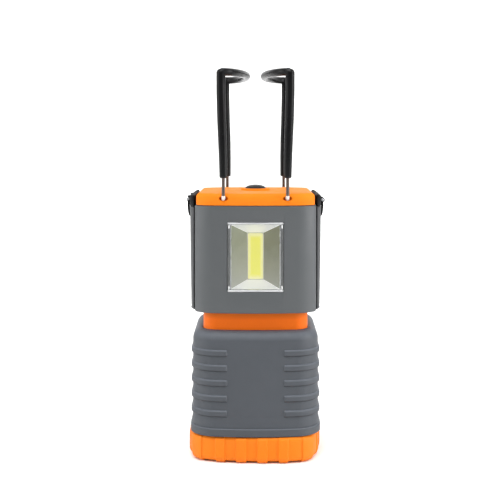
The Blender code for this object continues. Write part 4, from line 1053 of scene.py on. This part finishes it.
def make_latch(side, sx):
    plan = door_plan(sx)
    loops = [door_loop(plan, door_taper(LATCH_LOW) + 0.3, 0.3, LATCH_LOW), door_loop(plan, door_taper(LATCH_LOW) + 0.08, 0.08, LATCH_LOW + 0.1), door_loop(plan, door_taper(LATCH_LOW), 0.0, LATCH_LOW + 0.35)]
    loops.append(door_loop(plan, door_taper(LATCH_TOP), 0.0, LATCH_TOP - 1.9))
    for z, ins in edge_round(0, LATCH_TOP, 1.9, 8):
        loops.append(door_loop(plan, door_taper(z) + ins, ins * 0.95, z))
    block = build("latch_housing_" + side, *skin(loops), None, "black_plastic", BLACK, smooth=False)
    tools = []
    lx, lz = LEVER_AXIS.x, LEVER_AXIS.z
    for sy in (-1, 1):
        a, b = sorted((sy * 4.6, sy * 6.4))
        pts = [(42.6, lz - 2.6), (44.3, lz - 2.3)] + lug_points(lx, lz, 1.6, 45.6, 14)[1:-1] + [(44.3, lz + 2.3), (42.6, lz + 2.6)]
        tools.append(("UNION", prism("ear", [(sx * x, z) for x, z in pts], "y", a, b)))
    tools.append(("DIFFERENCE", prism("ear_bore", ellipse(0.72, 0.72, 20, sx * lx, lz), "y", -8.0, 8.0)))
    # two rows of grip lines in the block's outer face
    for k in range(2):
        zc = LATCH_LOW + 2.6 + 3.2 * k
        for sy in (-1, 1):
            xa, xb = sorted((sx * 43.75, sx * 46.0))
            tools.append(("DIFFERENCE", prism("grip_line", round_rect(5.0, 0.45, 0.4, 3, sy * 15.0, zc), "x", xa, xb)))
    carve(block, tools, bevel=0.14, segments=2, sharp=38, angle=50)
    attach(block, "door_" + side)
    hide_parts("latch_block_" + side)

    # lever: a barrel on the pin with a bowed blade hanging from it
    n = 26
    line = []
    for k in range(n + 1):
        t = k / n
        p0, p1, p2, p3 = (lx + 0.1, lz - 0.7), (lx + 0.35, lz - 4.2), (lx + 0.35, lz - 8.0), (lx - 0.95, lz - 11.2)
        x = (1 - t) ** 3 * p0[0] + 3 * t * (1 - t) ** 2 * p1[0] + 3 * t * t * (1 - t) * p2[0] + t ** 3 * p3[0]
        z = (1 - t) ** 3 * p0[1] + 3 * t * (1 - t) ** 2 * p1[1] + 3 * t * t * (1 - t) * p2[1] + t ** 3 * p3[1]
        line.append((x, z))
    left_edge, right_edge = [], []
    for k, (px, pz) in enumerate(line):
        a, b = line[max(k - 1, 0)], line[min(k + 1, n)]
        tx, tz = b[0] - a[0], b[1] - a[1]
        ln = math.hypot(tx, tz)
        nx, nz = -tz / ln, tx / ln
        w = 0.62 - 0.1 * (k / n)
        if k >= n - 2:
            w *= (1.0, 0.85, 0.45)[k - n + 2]
        left_edge.append((px + nx * w, pz + nz * w))
        right_edge.append((px - nx * w, pz - nz * w))
    prof = left_edge + right_edge[::-1]
    lever = build("latch_lever_arm_" + side, *skin([[(sx * x, y, z) for x, z in prof] for y in (-3.9, 3.9)]), None, "black_plastic", BLACK, smooth=False)
    tools = [
        ("UNION", prism("barrel", ellipse(1.42, 1.42, 32, sx * lx, lz), "y", -4.2, 4.2)),
        ("DIFFERENCE", prism("barrel_bore", ellipse(0.72, 0.72, 20, sx * lx, lz), "y", -6.0, 6.0)),
    ]
    carve(lever, tools, bevel=0.16, segments=2, sharp=38, angle=50)
    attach(lever, "latch_" + side)
    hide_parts("latch_lever_" + side)

    # headed pin through the ears
    prof = [(0.1, -7.0), (0.75, -7.0), (0.95, -6.85), (0.95, -6.55), (0.52, -6.5), (0.52, 6.75), (0.4, 6.95), (0.1, 6.95)]
    loops = [[(sx * lx + r * math.cos(2 * math.pi * k / 20), y, lz + r * math.sin(2 * math.pi * k / 20)) for k in range(20)] for r, y in prof]
    pin = build("latch_pin_turned_" + side, *skin(loops), "door_" + side, "zinc_steel", ZINC, sharp=35)
    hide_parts("latch_pin_" + side)


for side, sx in (("left", -1), ("right", 1)):
    make_door(side, sx)
    make_latch(side, sx)


# ------------------------------------------------------------------ handles
def bezier(a, b, c, n):
    return [tuple((1 - t) ** 2 * a[i] + 2 * t * (1 - t) * b[i] + t * t * c[i] for i in range(3)) for t in [k / n for k in range(1, n + 1)]]


LEG_TOP_X, LEG_TOP_Y, LEG_TOP_Z, TIP_X = 22.5, 48.4, 256.0, 6.2
GRIP_LOW = lo("handle_grip_left").z
LOOP_R, LEG_R_LOW, LEG_R_TOP = 2.6, 2.45, 2.85


def lean(z):
    """How far a leg has leaned outwards at a height."""
    return float(np.interp(z, (187.0, 199.0, 212.0, 225.0, 244.0), (0.0, 0.15, 0.5, 1.05, 1.5)))


def leg_y(z, z_foot):
    t = (z - z_foot) / (LEG_TOP_Z - 4.2 - z_foot)
    return -46.35 + (-LEG_TOP_Y + 0.1 + 46.35) * t


def leg_radius(z):
    t = max(0.0, min(1.0, (z - GRIP_LOW) / (228.0 - GRIP_LOW)))
    return LEG_R_LOW + (LEG_R_TOP - LEG_R_LOW) * (1.0 - (1.0 - t) ** 1.6)


def on_loop(t):
    return (LEG_TOP_X - (LEG_TOP_X - TIP_X) * math.sin(t), -LEG_TOP_Y * math.cos(t), LEG_TOP_Z)


def handle_path(sx, bend=10, top=12, loop=30):
    x0, z0 = PIVOT.x, PIVOT.z
    pts = [(x0, -39.0, z0), (x0, -41.5, z0), (x0, -44.4, z0)]
    foot = (x0 + 0.02, -46.35, z0 + 2.0)
    pts += bezier(pts[-1], (x0, -46.3, z0), foot, bend)
    for z in (178.0, 182.0, 187.0, 190.0, 194.0, 199.0, 206.0, 212.0, 218.0, 225.0, 232.0, 238.0, 244.0, 249.0):
        pts.append((x0 + lean(z), leg_y(z, foot[2]), z))
    head = (LEG_TOP_X - 0.05, -LEG_TOP_Y + 0.1, LEG_TOP_Z - 4.2)
    pts.append(head)
    t0 = 0.26
    pts += bezier(head, (LEG_TOP_X, -LEG_TOP_Y, LEG_TOP_Z), on_loop(t0), top)
    for k in range(1, loop + 1):
        pts.append(on_loop(t0 + (math.pi / 2 - t0) * k / loop))
    path = pts + [(x, -y, z) for x, y, z in pts[:-1][::-1]]
    return [(sx * x, y, z) for x, y, z in path]


def frames_along(path):
    pts = [Vector(p) for p in path]
    tang = [(pts[min(i + 1, len(pts) - 1)] - pts[max(i - 1, 0)]).normalized() for i in range(len(pts))]
    # start with the section's u axis square to the lantern's front
    ref = Vector((1, 0, 0))
    normal = (ref - tang[0] * ref.dot(tang[0])).normalized()
    out = []
    for i, t in enumerate(tang):
        if i:
            normal = tang[i - 1].rotation_difference(t) @ normal
            normal = (normal - t * normal.dot(t)).normalized()
        out.append((pts[i], t, normal, t.cross(normal).normalized()))
    return out


def section(frame_, r, n, shape=None):
    p, _, u, v = frame_
    out = []
    for k in range(n):
        a = 2 * math.pi * k / n
        rr = r * (shape(a) if shape else 1.0)
        out.append(tuple(p + u * (rr * math.cos(a)) + v * (rr * math.sin(a))))
    return out


def make_handle(side, sx):
    path = handle_path(sx)
    fr = frames_along(path)
    n = 24
    radii = [1.17] * len(fr)
    radii[0] = radii[-1] = 1.0
    wire = build("handle_rod_" + side, *skin([section(f, r, n) for f, r in zip(fr, radii)]), "handle_" + side, "wire_steel", [WIRE, WIRE_BEND_HIGHLIGHT], sharp=40)
    for poly in wire.data.polygons:
        # the bend at each hole carries a painted highlight
        if poly.center.z < (PIVOT.z + 2.9) * MM:
            poly.material_index = 1
    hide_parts("handle_wire_" + side)

    def seam(a):
        # moulded grip: round, with a fine parting ridge down two sides
        d = min(abs(math.sin(a)), 1.0)
        return 1.0 + (0.05 * math.exp(-(d / 0.11) ** 2))

    # each leg is a straight sleeve with a domed end
    foot_z = PIVOT.z + 2.0
    ends = [GRIP_LOW + d for d in (0.0, 0.1, 0.3, 0.6, 1.0, 1.5)]
    zs = ends + [190.0, 194.0, 199.0, 206.0, 212.0, 218.0, 225.0, 232.0, 238.0, 244.0, 250.0]
    top = 255.3
    rows = [(z, leg_radius(z) * (0.80 + 0.20 * math.sqrt(max(0.0, 1.0 - (1.0 - min(1.0, (z - GRIP_LOW) / 1.4)) ** 2)))) for z in zs]
    for k in range(0, 12):
        a = math.pi / 2 * k / 12
        rows.append((top + LEG_R_TOP * math.sin(a), LEG_R_TOP * math.cos(a)))
    legs = []
    for sy in (1, -1):
        loops = []
        for i, (z, r) in enumerate(rows):
            # the far sleeves reach a little lower
            if sy < 0 and i < len(ends):
                z -= 2.4
            cx, cy = PIVOT.x + lean(z), leg_y(min(z, top), foot_z)
            loops.append([(sx * (cx + r * seam(a) * math.cos(a)), sy * (cy + r * seam(a) * math.sin(a)), z) for a in [2 * math.pi * k / 48 for k in range(48)]])
        legs.append(skin(loops))
    # the loop joins the two legs, leaving them at right angles
    arc = [on_loop(math.pi / 2 * k / 34) for k in range(35)]
    arc = [(sx * x, y, z - 0.05) for x, y, z in arc]
    arc += [(x, -y, z) for x, y, z in arc[:-1][::-1]]
    turned = frames_along(arc)
    grip = build("handle_grip_moulded_" + side, *skin([section(f, LOOP_R, 48, seam) for f in turned]), None, "black_rubber", GRIP, smooth=False)
    bore = skin([section(f, 1.22, 24) for f in fr])
    carve(grip, [
        ("UNION", tool("near_leg", *legs[0])),
        ("UNION", tool("far_leg", *legs[1])),
        ("DIFFERENCE", tool("wire_bore", *bore)),
    ], bevel=0, sharp=50)
    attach(grip, "handle_" + side)
    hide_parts("handle_grip_" + side)


for side, sx in (("left", -1), ("right", 1)):
    make_handle(side, sx)


# ------------------------------------------------------------------ lamps
LAMP_DEPTH = 7.4


def face_matrix(angle):
    return Matrix.Rotation(math.radians(angle), 4, "Z")


def turned_build(name, verts, faces, slot, mats, angle, sharp=30, smooth=True):
    obj = build(name, verts, faces, None, slot, mats, sharp, smooth)
    obj.data.transform(face_matrix(angle))
    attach(obj, "lantern")
    return obj


def win_loop(hw, hh, r, d, n=5):
    return [(x, -d, z) for x, z in round_rect(hw, hh, r, n, 0.0, WIN_Z)]


def plate(name, cx, cz, hw, hh, r, d0, d1, slot, mats, angle):
    pts = round_rect(hw, hh, r, 4, cx, cz)
    loops = [[(x, -d1, z) for x, z in pts], [(x, -d0 + 0.08, z) for x, z in pts]]
    small = round_rect(hw - 0.08, hh - 0.08, max(0.02, r - 0.05), 4, cx, cz)
    loops.append([(x, -d0, z) for x, z in small])
    return turned_build(name, *skin(loops), slot, mats, angle)


def lens_local(c, angle):
    """Sideways distance of a point from a lamp's middle."""
    a = math.radians(angle)
    return abs(c.x * math.cos(a) + c.y * math.sin(a))


def make_lamp(side, angle, depth, cob_mat):
    # clear cover, in two tones: the see-through pane and its moulded rim
    loops = [
        win_loop(WIN_HW, WIN_HH, 0.9, depth - 1.2),
        win_loop(WIN_HW, WIN_HH, 0.9, depth - 0.35),
        win_loop(WIN_HW - 0.1, WIN_HH - 0.1, 0.9, depth - 0.12),
        win_loop(WIN_HW - 0.35, WIN_HH - 0.35, 0.8, depth),
        win_loop(WIN_HW - 1.05, WIN_HH - 1.05, 0.6, depth),
        win_loop(WIN_HW - 1.25, WIN_HH - 1.25, 0.6, depth - 0.28),
    ]
    verts, faces = skin(loops)
    lens = turned_build(side + "_lens_cover", verts, faces, "clear_lens", [LENS_RIM, LENS], angle, sharp=25)
    n = len(loops[0])
    for poly in lens.data.polygons:
        c = poly.center / MM
        # the pane and its long sides are clear, its ends are frosted
        if len(poly.vertices) > 4 or (lens_local(c, angle) > WIN_HW - 1.4 and abs(c.z - WIN_Z) < WIN_HH - 1.2):
            poly.material_index = 1
    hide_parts(side + "_lens")

    # reflector: rim, four flat facets down to the strip, and its back wall
    rows = [
        (WIN_HW - 0.05, WIN_HH - 0.05, 0.9, depth - 1.5),
        (WIN_HW - 0.05, WIN_HH - 0.05, 0.9, depth - 3.3),
        (WIN_HW + 2.2, WIN_HH + 2.2, 1.2, depth - 3.3),
        (WIN_HW + 2.2, WIN_HH + 2.2, 1.2, depth - 4.2),
        (WIN_HW - 1.2, WIN_HH - 1.2, 0.5, depth - 4.2),
        (COB_HW + 1.6, COB_HH + 1.6, 0.4, depth - LAMP_DEPTH),
        (COB_HW + 0.75, COB_HH + 0.75, 0.15, depth - LAMP_DEPTH),
        (COB_HW + 0.6, COB_HH + 0.6, 0.12, depth - LAMP_DEPTH + 0.2),
        (WIN_HW - 1.35, WIN_HH - 1.35, 0.12, depth - 1.95),
        (WIN_HW - 1.45, WIN_HH - 1.45, 0.12, depth - 1.62),
        (WIN_HW - 1.6, WIN_HH - 1.6, 0.12, depth - 1.5),
    ]
    loops = [win_loop(hw, hh, r, d, 3) for hw, hh, r, d in rows]
    # ledge under the cover, wider at the long sides, with a raised bead
    loops[-4] = win_loop(COB_HW + 0.6, COB_HH + 0.6, 0.28, depth - LAMP_DEPTH + 0.2, 3)
    loops[-3] = win_loop(WIN_HW - 2.55, WIN_HH - 1.62, 0.55, depth - 2.0, 3)
    loops[-2] = win_loop(WIN_HW - 2.42, WIN_HH - 1.5, 0.5, depth - 1.5, 3)
    loops[-1] = win_loop(WIN_HW - 2.34, WIN_HH - 1.42, 0.5, depth - 1.32, 3)
    loops.append(win_loop(WIN_HW - 2.04, WIN_HH - 1.22, 0.5, depth - 1.32, 3))
    loops.append(win_loop(WIN_HW - 1.96, WIN_HH - 1.16, 0.5, depth - 1.5, 3))
    verts, faces = skin(loops, closed=True)
    ref = build(side + "_reflector_bowl", verts, faces, None, "reflector", [REFLECT_RIM, REFLECT_FACE, REFLECT_SIDE, REFLECT_EDGE, REFLECT_SIDE_SHADED, REFLECT_GLINT], sharp=12)
    for poly in ref.data.polygons:
        nrm = poly.normal
        c = poly.center / MM
        across, up = abs(c.x), abs(c.z - WIN_Z)
        facet = nrm.y < -0.05 and across < WIN_HW - 2.6 and up < WIN_HH - 1.7
        # facet corners take the painted glint; side facets facing -x take the painted-shade copy
        if facet and abs(nrm.z) > 0.22 and abs(nrm.x) > 0.22:
            poly.material_index = 5
        elif facet and abs(nrm.z) > 0.3:
            poly.material_index = 1
        elif facet and abs(nrm.x) > 0.3:
            poly.material_index = 2 if nrm.x > 0 else 4
        elif nrm.y < -0.8 and across > WIN_HW - 1.9 and up < WIN_HH - 1.3:
            poly.material_index = 3
        elif nrm.y < -0.8 and WIN_HH - 1.6 < up < WIN_HH - 1.2:
            poly.material_index = 3
    ref.data.transform(face_matrix(angle))
    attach(ref, "lantern")
    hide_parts(side + "_reflector")

    # board, and the strip's gel dam
    board = plate(side + "_cob_board", 0.0, WIN_Z, 8.0, 19.0, 0.8, depth - LAMP_DEPTH - 0.35, depth - LAMP_DEPTH - 1.9, "cob_phosphor", COB_BOARD, angle)
    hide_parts(side + "_cob")
    pts = round_rect(COB_HW, COB_HH, 0.8, 6, 0.0, WIN_Z)
    foot = depth - LAMP_DEPTH
    gel = []
    for ins, d in ((0.0, foot - 0.34), (0.0, foot + 0.4), (0.12, foot + 0.6), (0.4, foot + 0.72), (1.0, foot + 0.68), (2.4, foot + 0.78)):
        gel.append([(x * (COB_HW - ins) / COB_HW, -d, WIN_Z + (z - WIN_Z) * (COB_HH - ins) / COB_HH) for x, z in pts])
    turned_build(side + "_cob_strip", *skin(gel), "cob_phosphor", cob_mat, angle, sharp=40)

    # four small clips that hold the cover at its long sides
    for k, (sx, sz) in enumerate(((-1, -1), (1, -1), (-1, 1), (1, 1))):
        plate("%s_lens_clip_%d" % (side, k + 1), sx * (WIN_HW - 0.95), WIN_Z + sz * 19.9, 0.26, 1.1, 0.22, depth + 0.05, depth - 0.25, "clear_lens", REFLECT_FACE, angle)


make_lamp("front", 0.0, FRONT_LENS, COB_Y)
make_lamp("rear", 180.0, FRONT_LENS, COB_Y)
make_lamp("right", 90.0, SIDE_LENS, COB_X)
make_lamp("left", 270.0, SIDE_LENS, COB_X)


# ------------------------------------------------------------------ screws
def make_rear_screws():
    for k in range(4):
        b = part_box("rear_screw_%d" % (k + 1))
        c = (b[0] + b[1]) * 500.0
        top = b[1].y * 1000.0
        n = 40
        prof = [(0.1, 16.0), (0.5, 16.2), (0.9, 17.5)]
        turns = 10
        for j in range(turns):
            y = 18.0 + j * 1.6
            prof += [(0.78, y), (1.0, y + 0.5), (1.0, y + 0.7), (0.78, y + 1.2)]
        prof += [(0.95, 40.6), (0.95, top - 1.35), (2.35, top - 1.35), (2.52, top - 1.2), (2.52, top - 0.55), (2.3, top - 0.2), (1.7, top - 0.02), (0.3, top)]
        loops = [[(c.x + r * math.cos(2 * math.pi * i / n), y, c.z + r * math.sin(2 * math.pi * i / n)) for i in range(n)] for r, y in prof]
        screw = build("rear_screw_turned_%d" % (k + 1), *skin(loops), None, "zinc_steel", ZINC, sharp=35)
        # cross recess in the head
        tools = []
        for rot in (0, 1):
            hw, hh = ((1.5, 0.28), (0.28, 1.5))[rot]
            tools.append(("DIFFERENCE", prism("recess", [(c.x - hw, c.z - hh), (c.x + hw, c.z - hh), (c.x + hw, c.z + hh), (c.x - hw, c.z + hh)], "y", top - 0.75, top + 1.0)))
        carve(screw, tools, bevel=0, sharp=35)
        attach(screw, "lantern")
        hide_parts("rear_screw_%d" % (k + 1))


make_rear_screws()


# ------------------------------------------------------------------ stage
def make_stage():
    mat = Nodes("studio_floor")
    pale = mat.mix(mat.span(mat.noise(6.0, 3.0, 0.5), 0.3, 0.7, 0.0, 1.0), (0.93, 0.93, 0.93), (0.95, 0.95, 0.95))
    mat.set("Base Color", pale)
    mat.set("Roughness", mat.span(mat.noise(30.0, 2.0, 0.5), 0.3, 0.7, 0.55, 0.62))
    verts, faces = [], []
    profile = [(-4.0, 0.0), (1.2, 0.0)]
    for k in range(1, 13):
        a = math.pi / 2 * k / 12
        profile.append((1.2 + 1.0 * math.sin(a), 1.0 * (1 - math.cos(a))))
    profile.append((2.2, 4.0))
    for y, z in profile:
        verts += [(-5.0, y, z), (5.0, y, z)]
    for k in range(len(profile) - 1):
        faces.append((2 * k, 2 * k + 1, 2 * k + 3, 2 * k + 2))
    mesh = bpy.data.meshes.new("studio_floor")
    mesh.from_pydata(verts, [], faces)
    mesh.shade_smooth()
    mesh.materials.append(mat.mat)
    obj = bpy.data.objects.new("studio_floor", mesh)
    bpy.context.scene.collection.objects.link(obj)


make_stage()


def area(name, where, aim, size, power, colour=(1, 1, 1), size_y=None):
    data = bpy.data.lights.new(name, "AREA")
    data.energy = power
    data.color = colour
    data.size = size
    if size_y:
        data.shape = "RECTANGLE"
        data.size_y = size_y
    obj = bpy.data.objects.new(name, data)
    obj.location = where
    obj.rotation_euler = (Vector(aim) - Vector(where)).to_track_quat("-Z", "Y").to_euler()
    bpy.context.scene.collection.objects.link(obj)
    return obj


area("key_soft", (-0.15, -0.75, 1.35), (0, 0, 0.12), 0.9, 13.0)
area("right_strip", (1.0, -0.30, 0.42), (0, 0, 0.13), 0.45, 9.0, size_y=1.1)
area("left_strip", (-1.0, -0.18, 0.42), (0, 0, 0.13), 0.45, 5.0, size_y=1.1)
area("back_wash", (0.0, 1.0, 1.4), (0, 2.0, 0.3), 1.6, 24.0)

world = bpy.data.worlds.new("studio")
bpy.context.scene.world = world
world.use_nodes = True
tree = world.node_tree
background = tree.nodes["Background"]


def world_node(kind, **inputs):
    node = tree.nodes.new(kind)
    for key, value in inputs.items():
        node.inputs[key].default_value = value
    return node


# a bright tent all round, open and dark towards the camera
where = world_node("ShaderNodeTexCoord")
axes = world_node("ShaderNodeSeparateXYZ")
tree.links.new(where.outputs["Generated"], axes.inputs[0])
front = world_node("ShaderNodeMapRange", **{"From Min": -0.35, "From Max": -0.92, "To Min": 0.0, "To Max": 1.0})
tree.links.new(axes.outputs["Y"], front.inputs["Value"])
low = world_node("ShaderNodeMapRange", **{"From Min": 0.30, "From Max": 0.75, "To Min": 1.0, "To Max": 0.0})
tree.links.new(axes.outputs["Z"], low.inputs["Value"])
both = world_node("ShaderNodeMath")
both.operation = "MULTIPLY"
tree.links.new(front.outputs["Result"], both.inputs[0])
tree.links.new(low.outputs["Result"], both.inputs[1])
power = world_node("ShaderNodeMapRange", **{"From Min": 0.0, "From Max": 1.0, "To Min": 0.80, "To Max": 0.16})
tree.links.new(both.outputs[0], power.inputs["Value"])
tree.links.new(power.outputs["Result"], background.inputs["Strength"])
background.inputs["Color"].default_value = (1.0, 1.0, 1.0, 1.0)

cam_data = bpy.data.cameras.new("camera")
cam_data.sensor_width = 36.0
cam_data.lens = 989.0 * 36.0 / 500.0
cam_data.shift_x = -0.011
cam_data.shift_y = -0.224
cam_data.clip_start = 0.01
cam_data.clip_end = 50.0
camera = bpy.data.objects.new("camera", cam_data)
camera.location = (0.0, -0.690, 0.213)
camera.rotation_euler = (math.radians(90.0), 0.0, 0.0)
bpy.context.scene.collection.objects.link(camera)
bpy.context.scene.camera = camera
bpy.context.scene.view_settings.view_transform = "Standard"
bpy.context.scene.view_settings.look = "None"

bpy.context.view_layer.update()
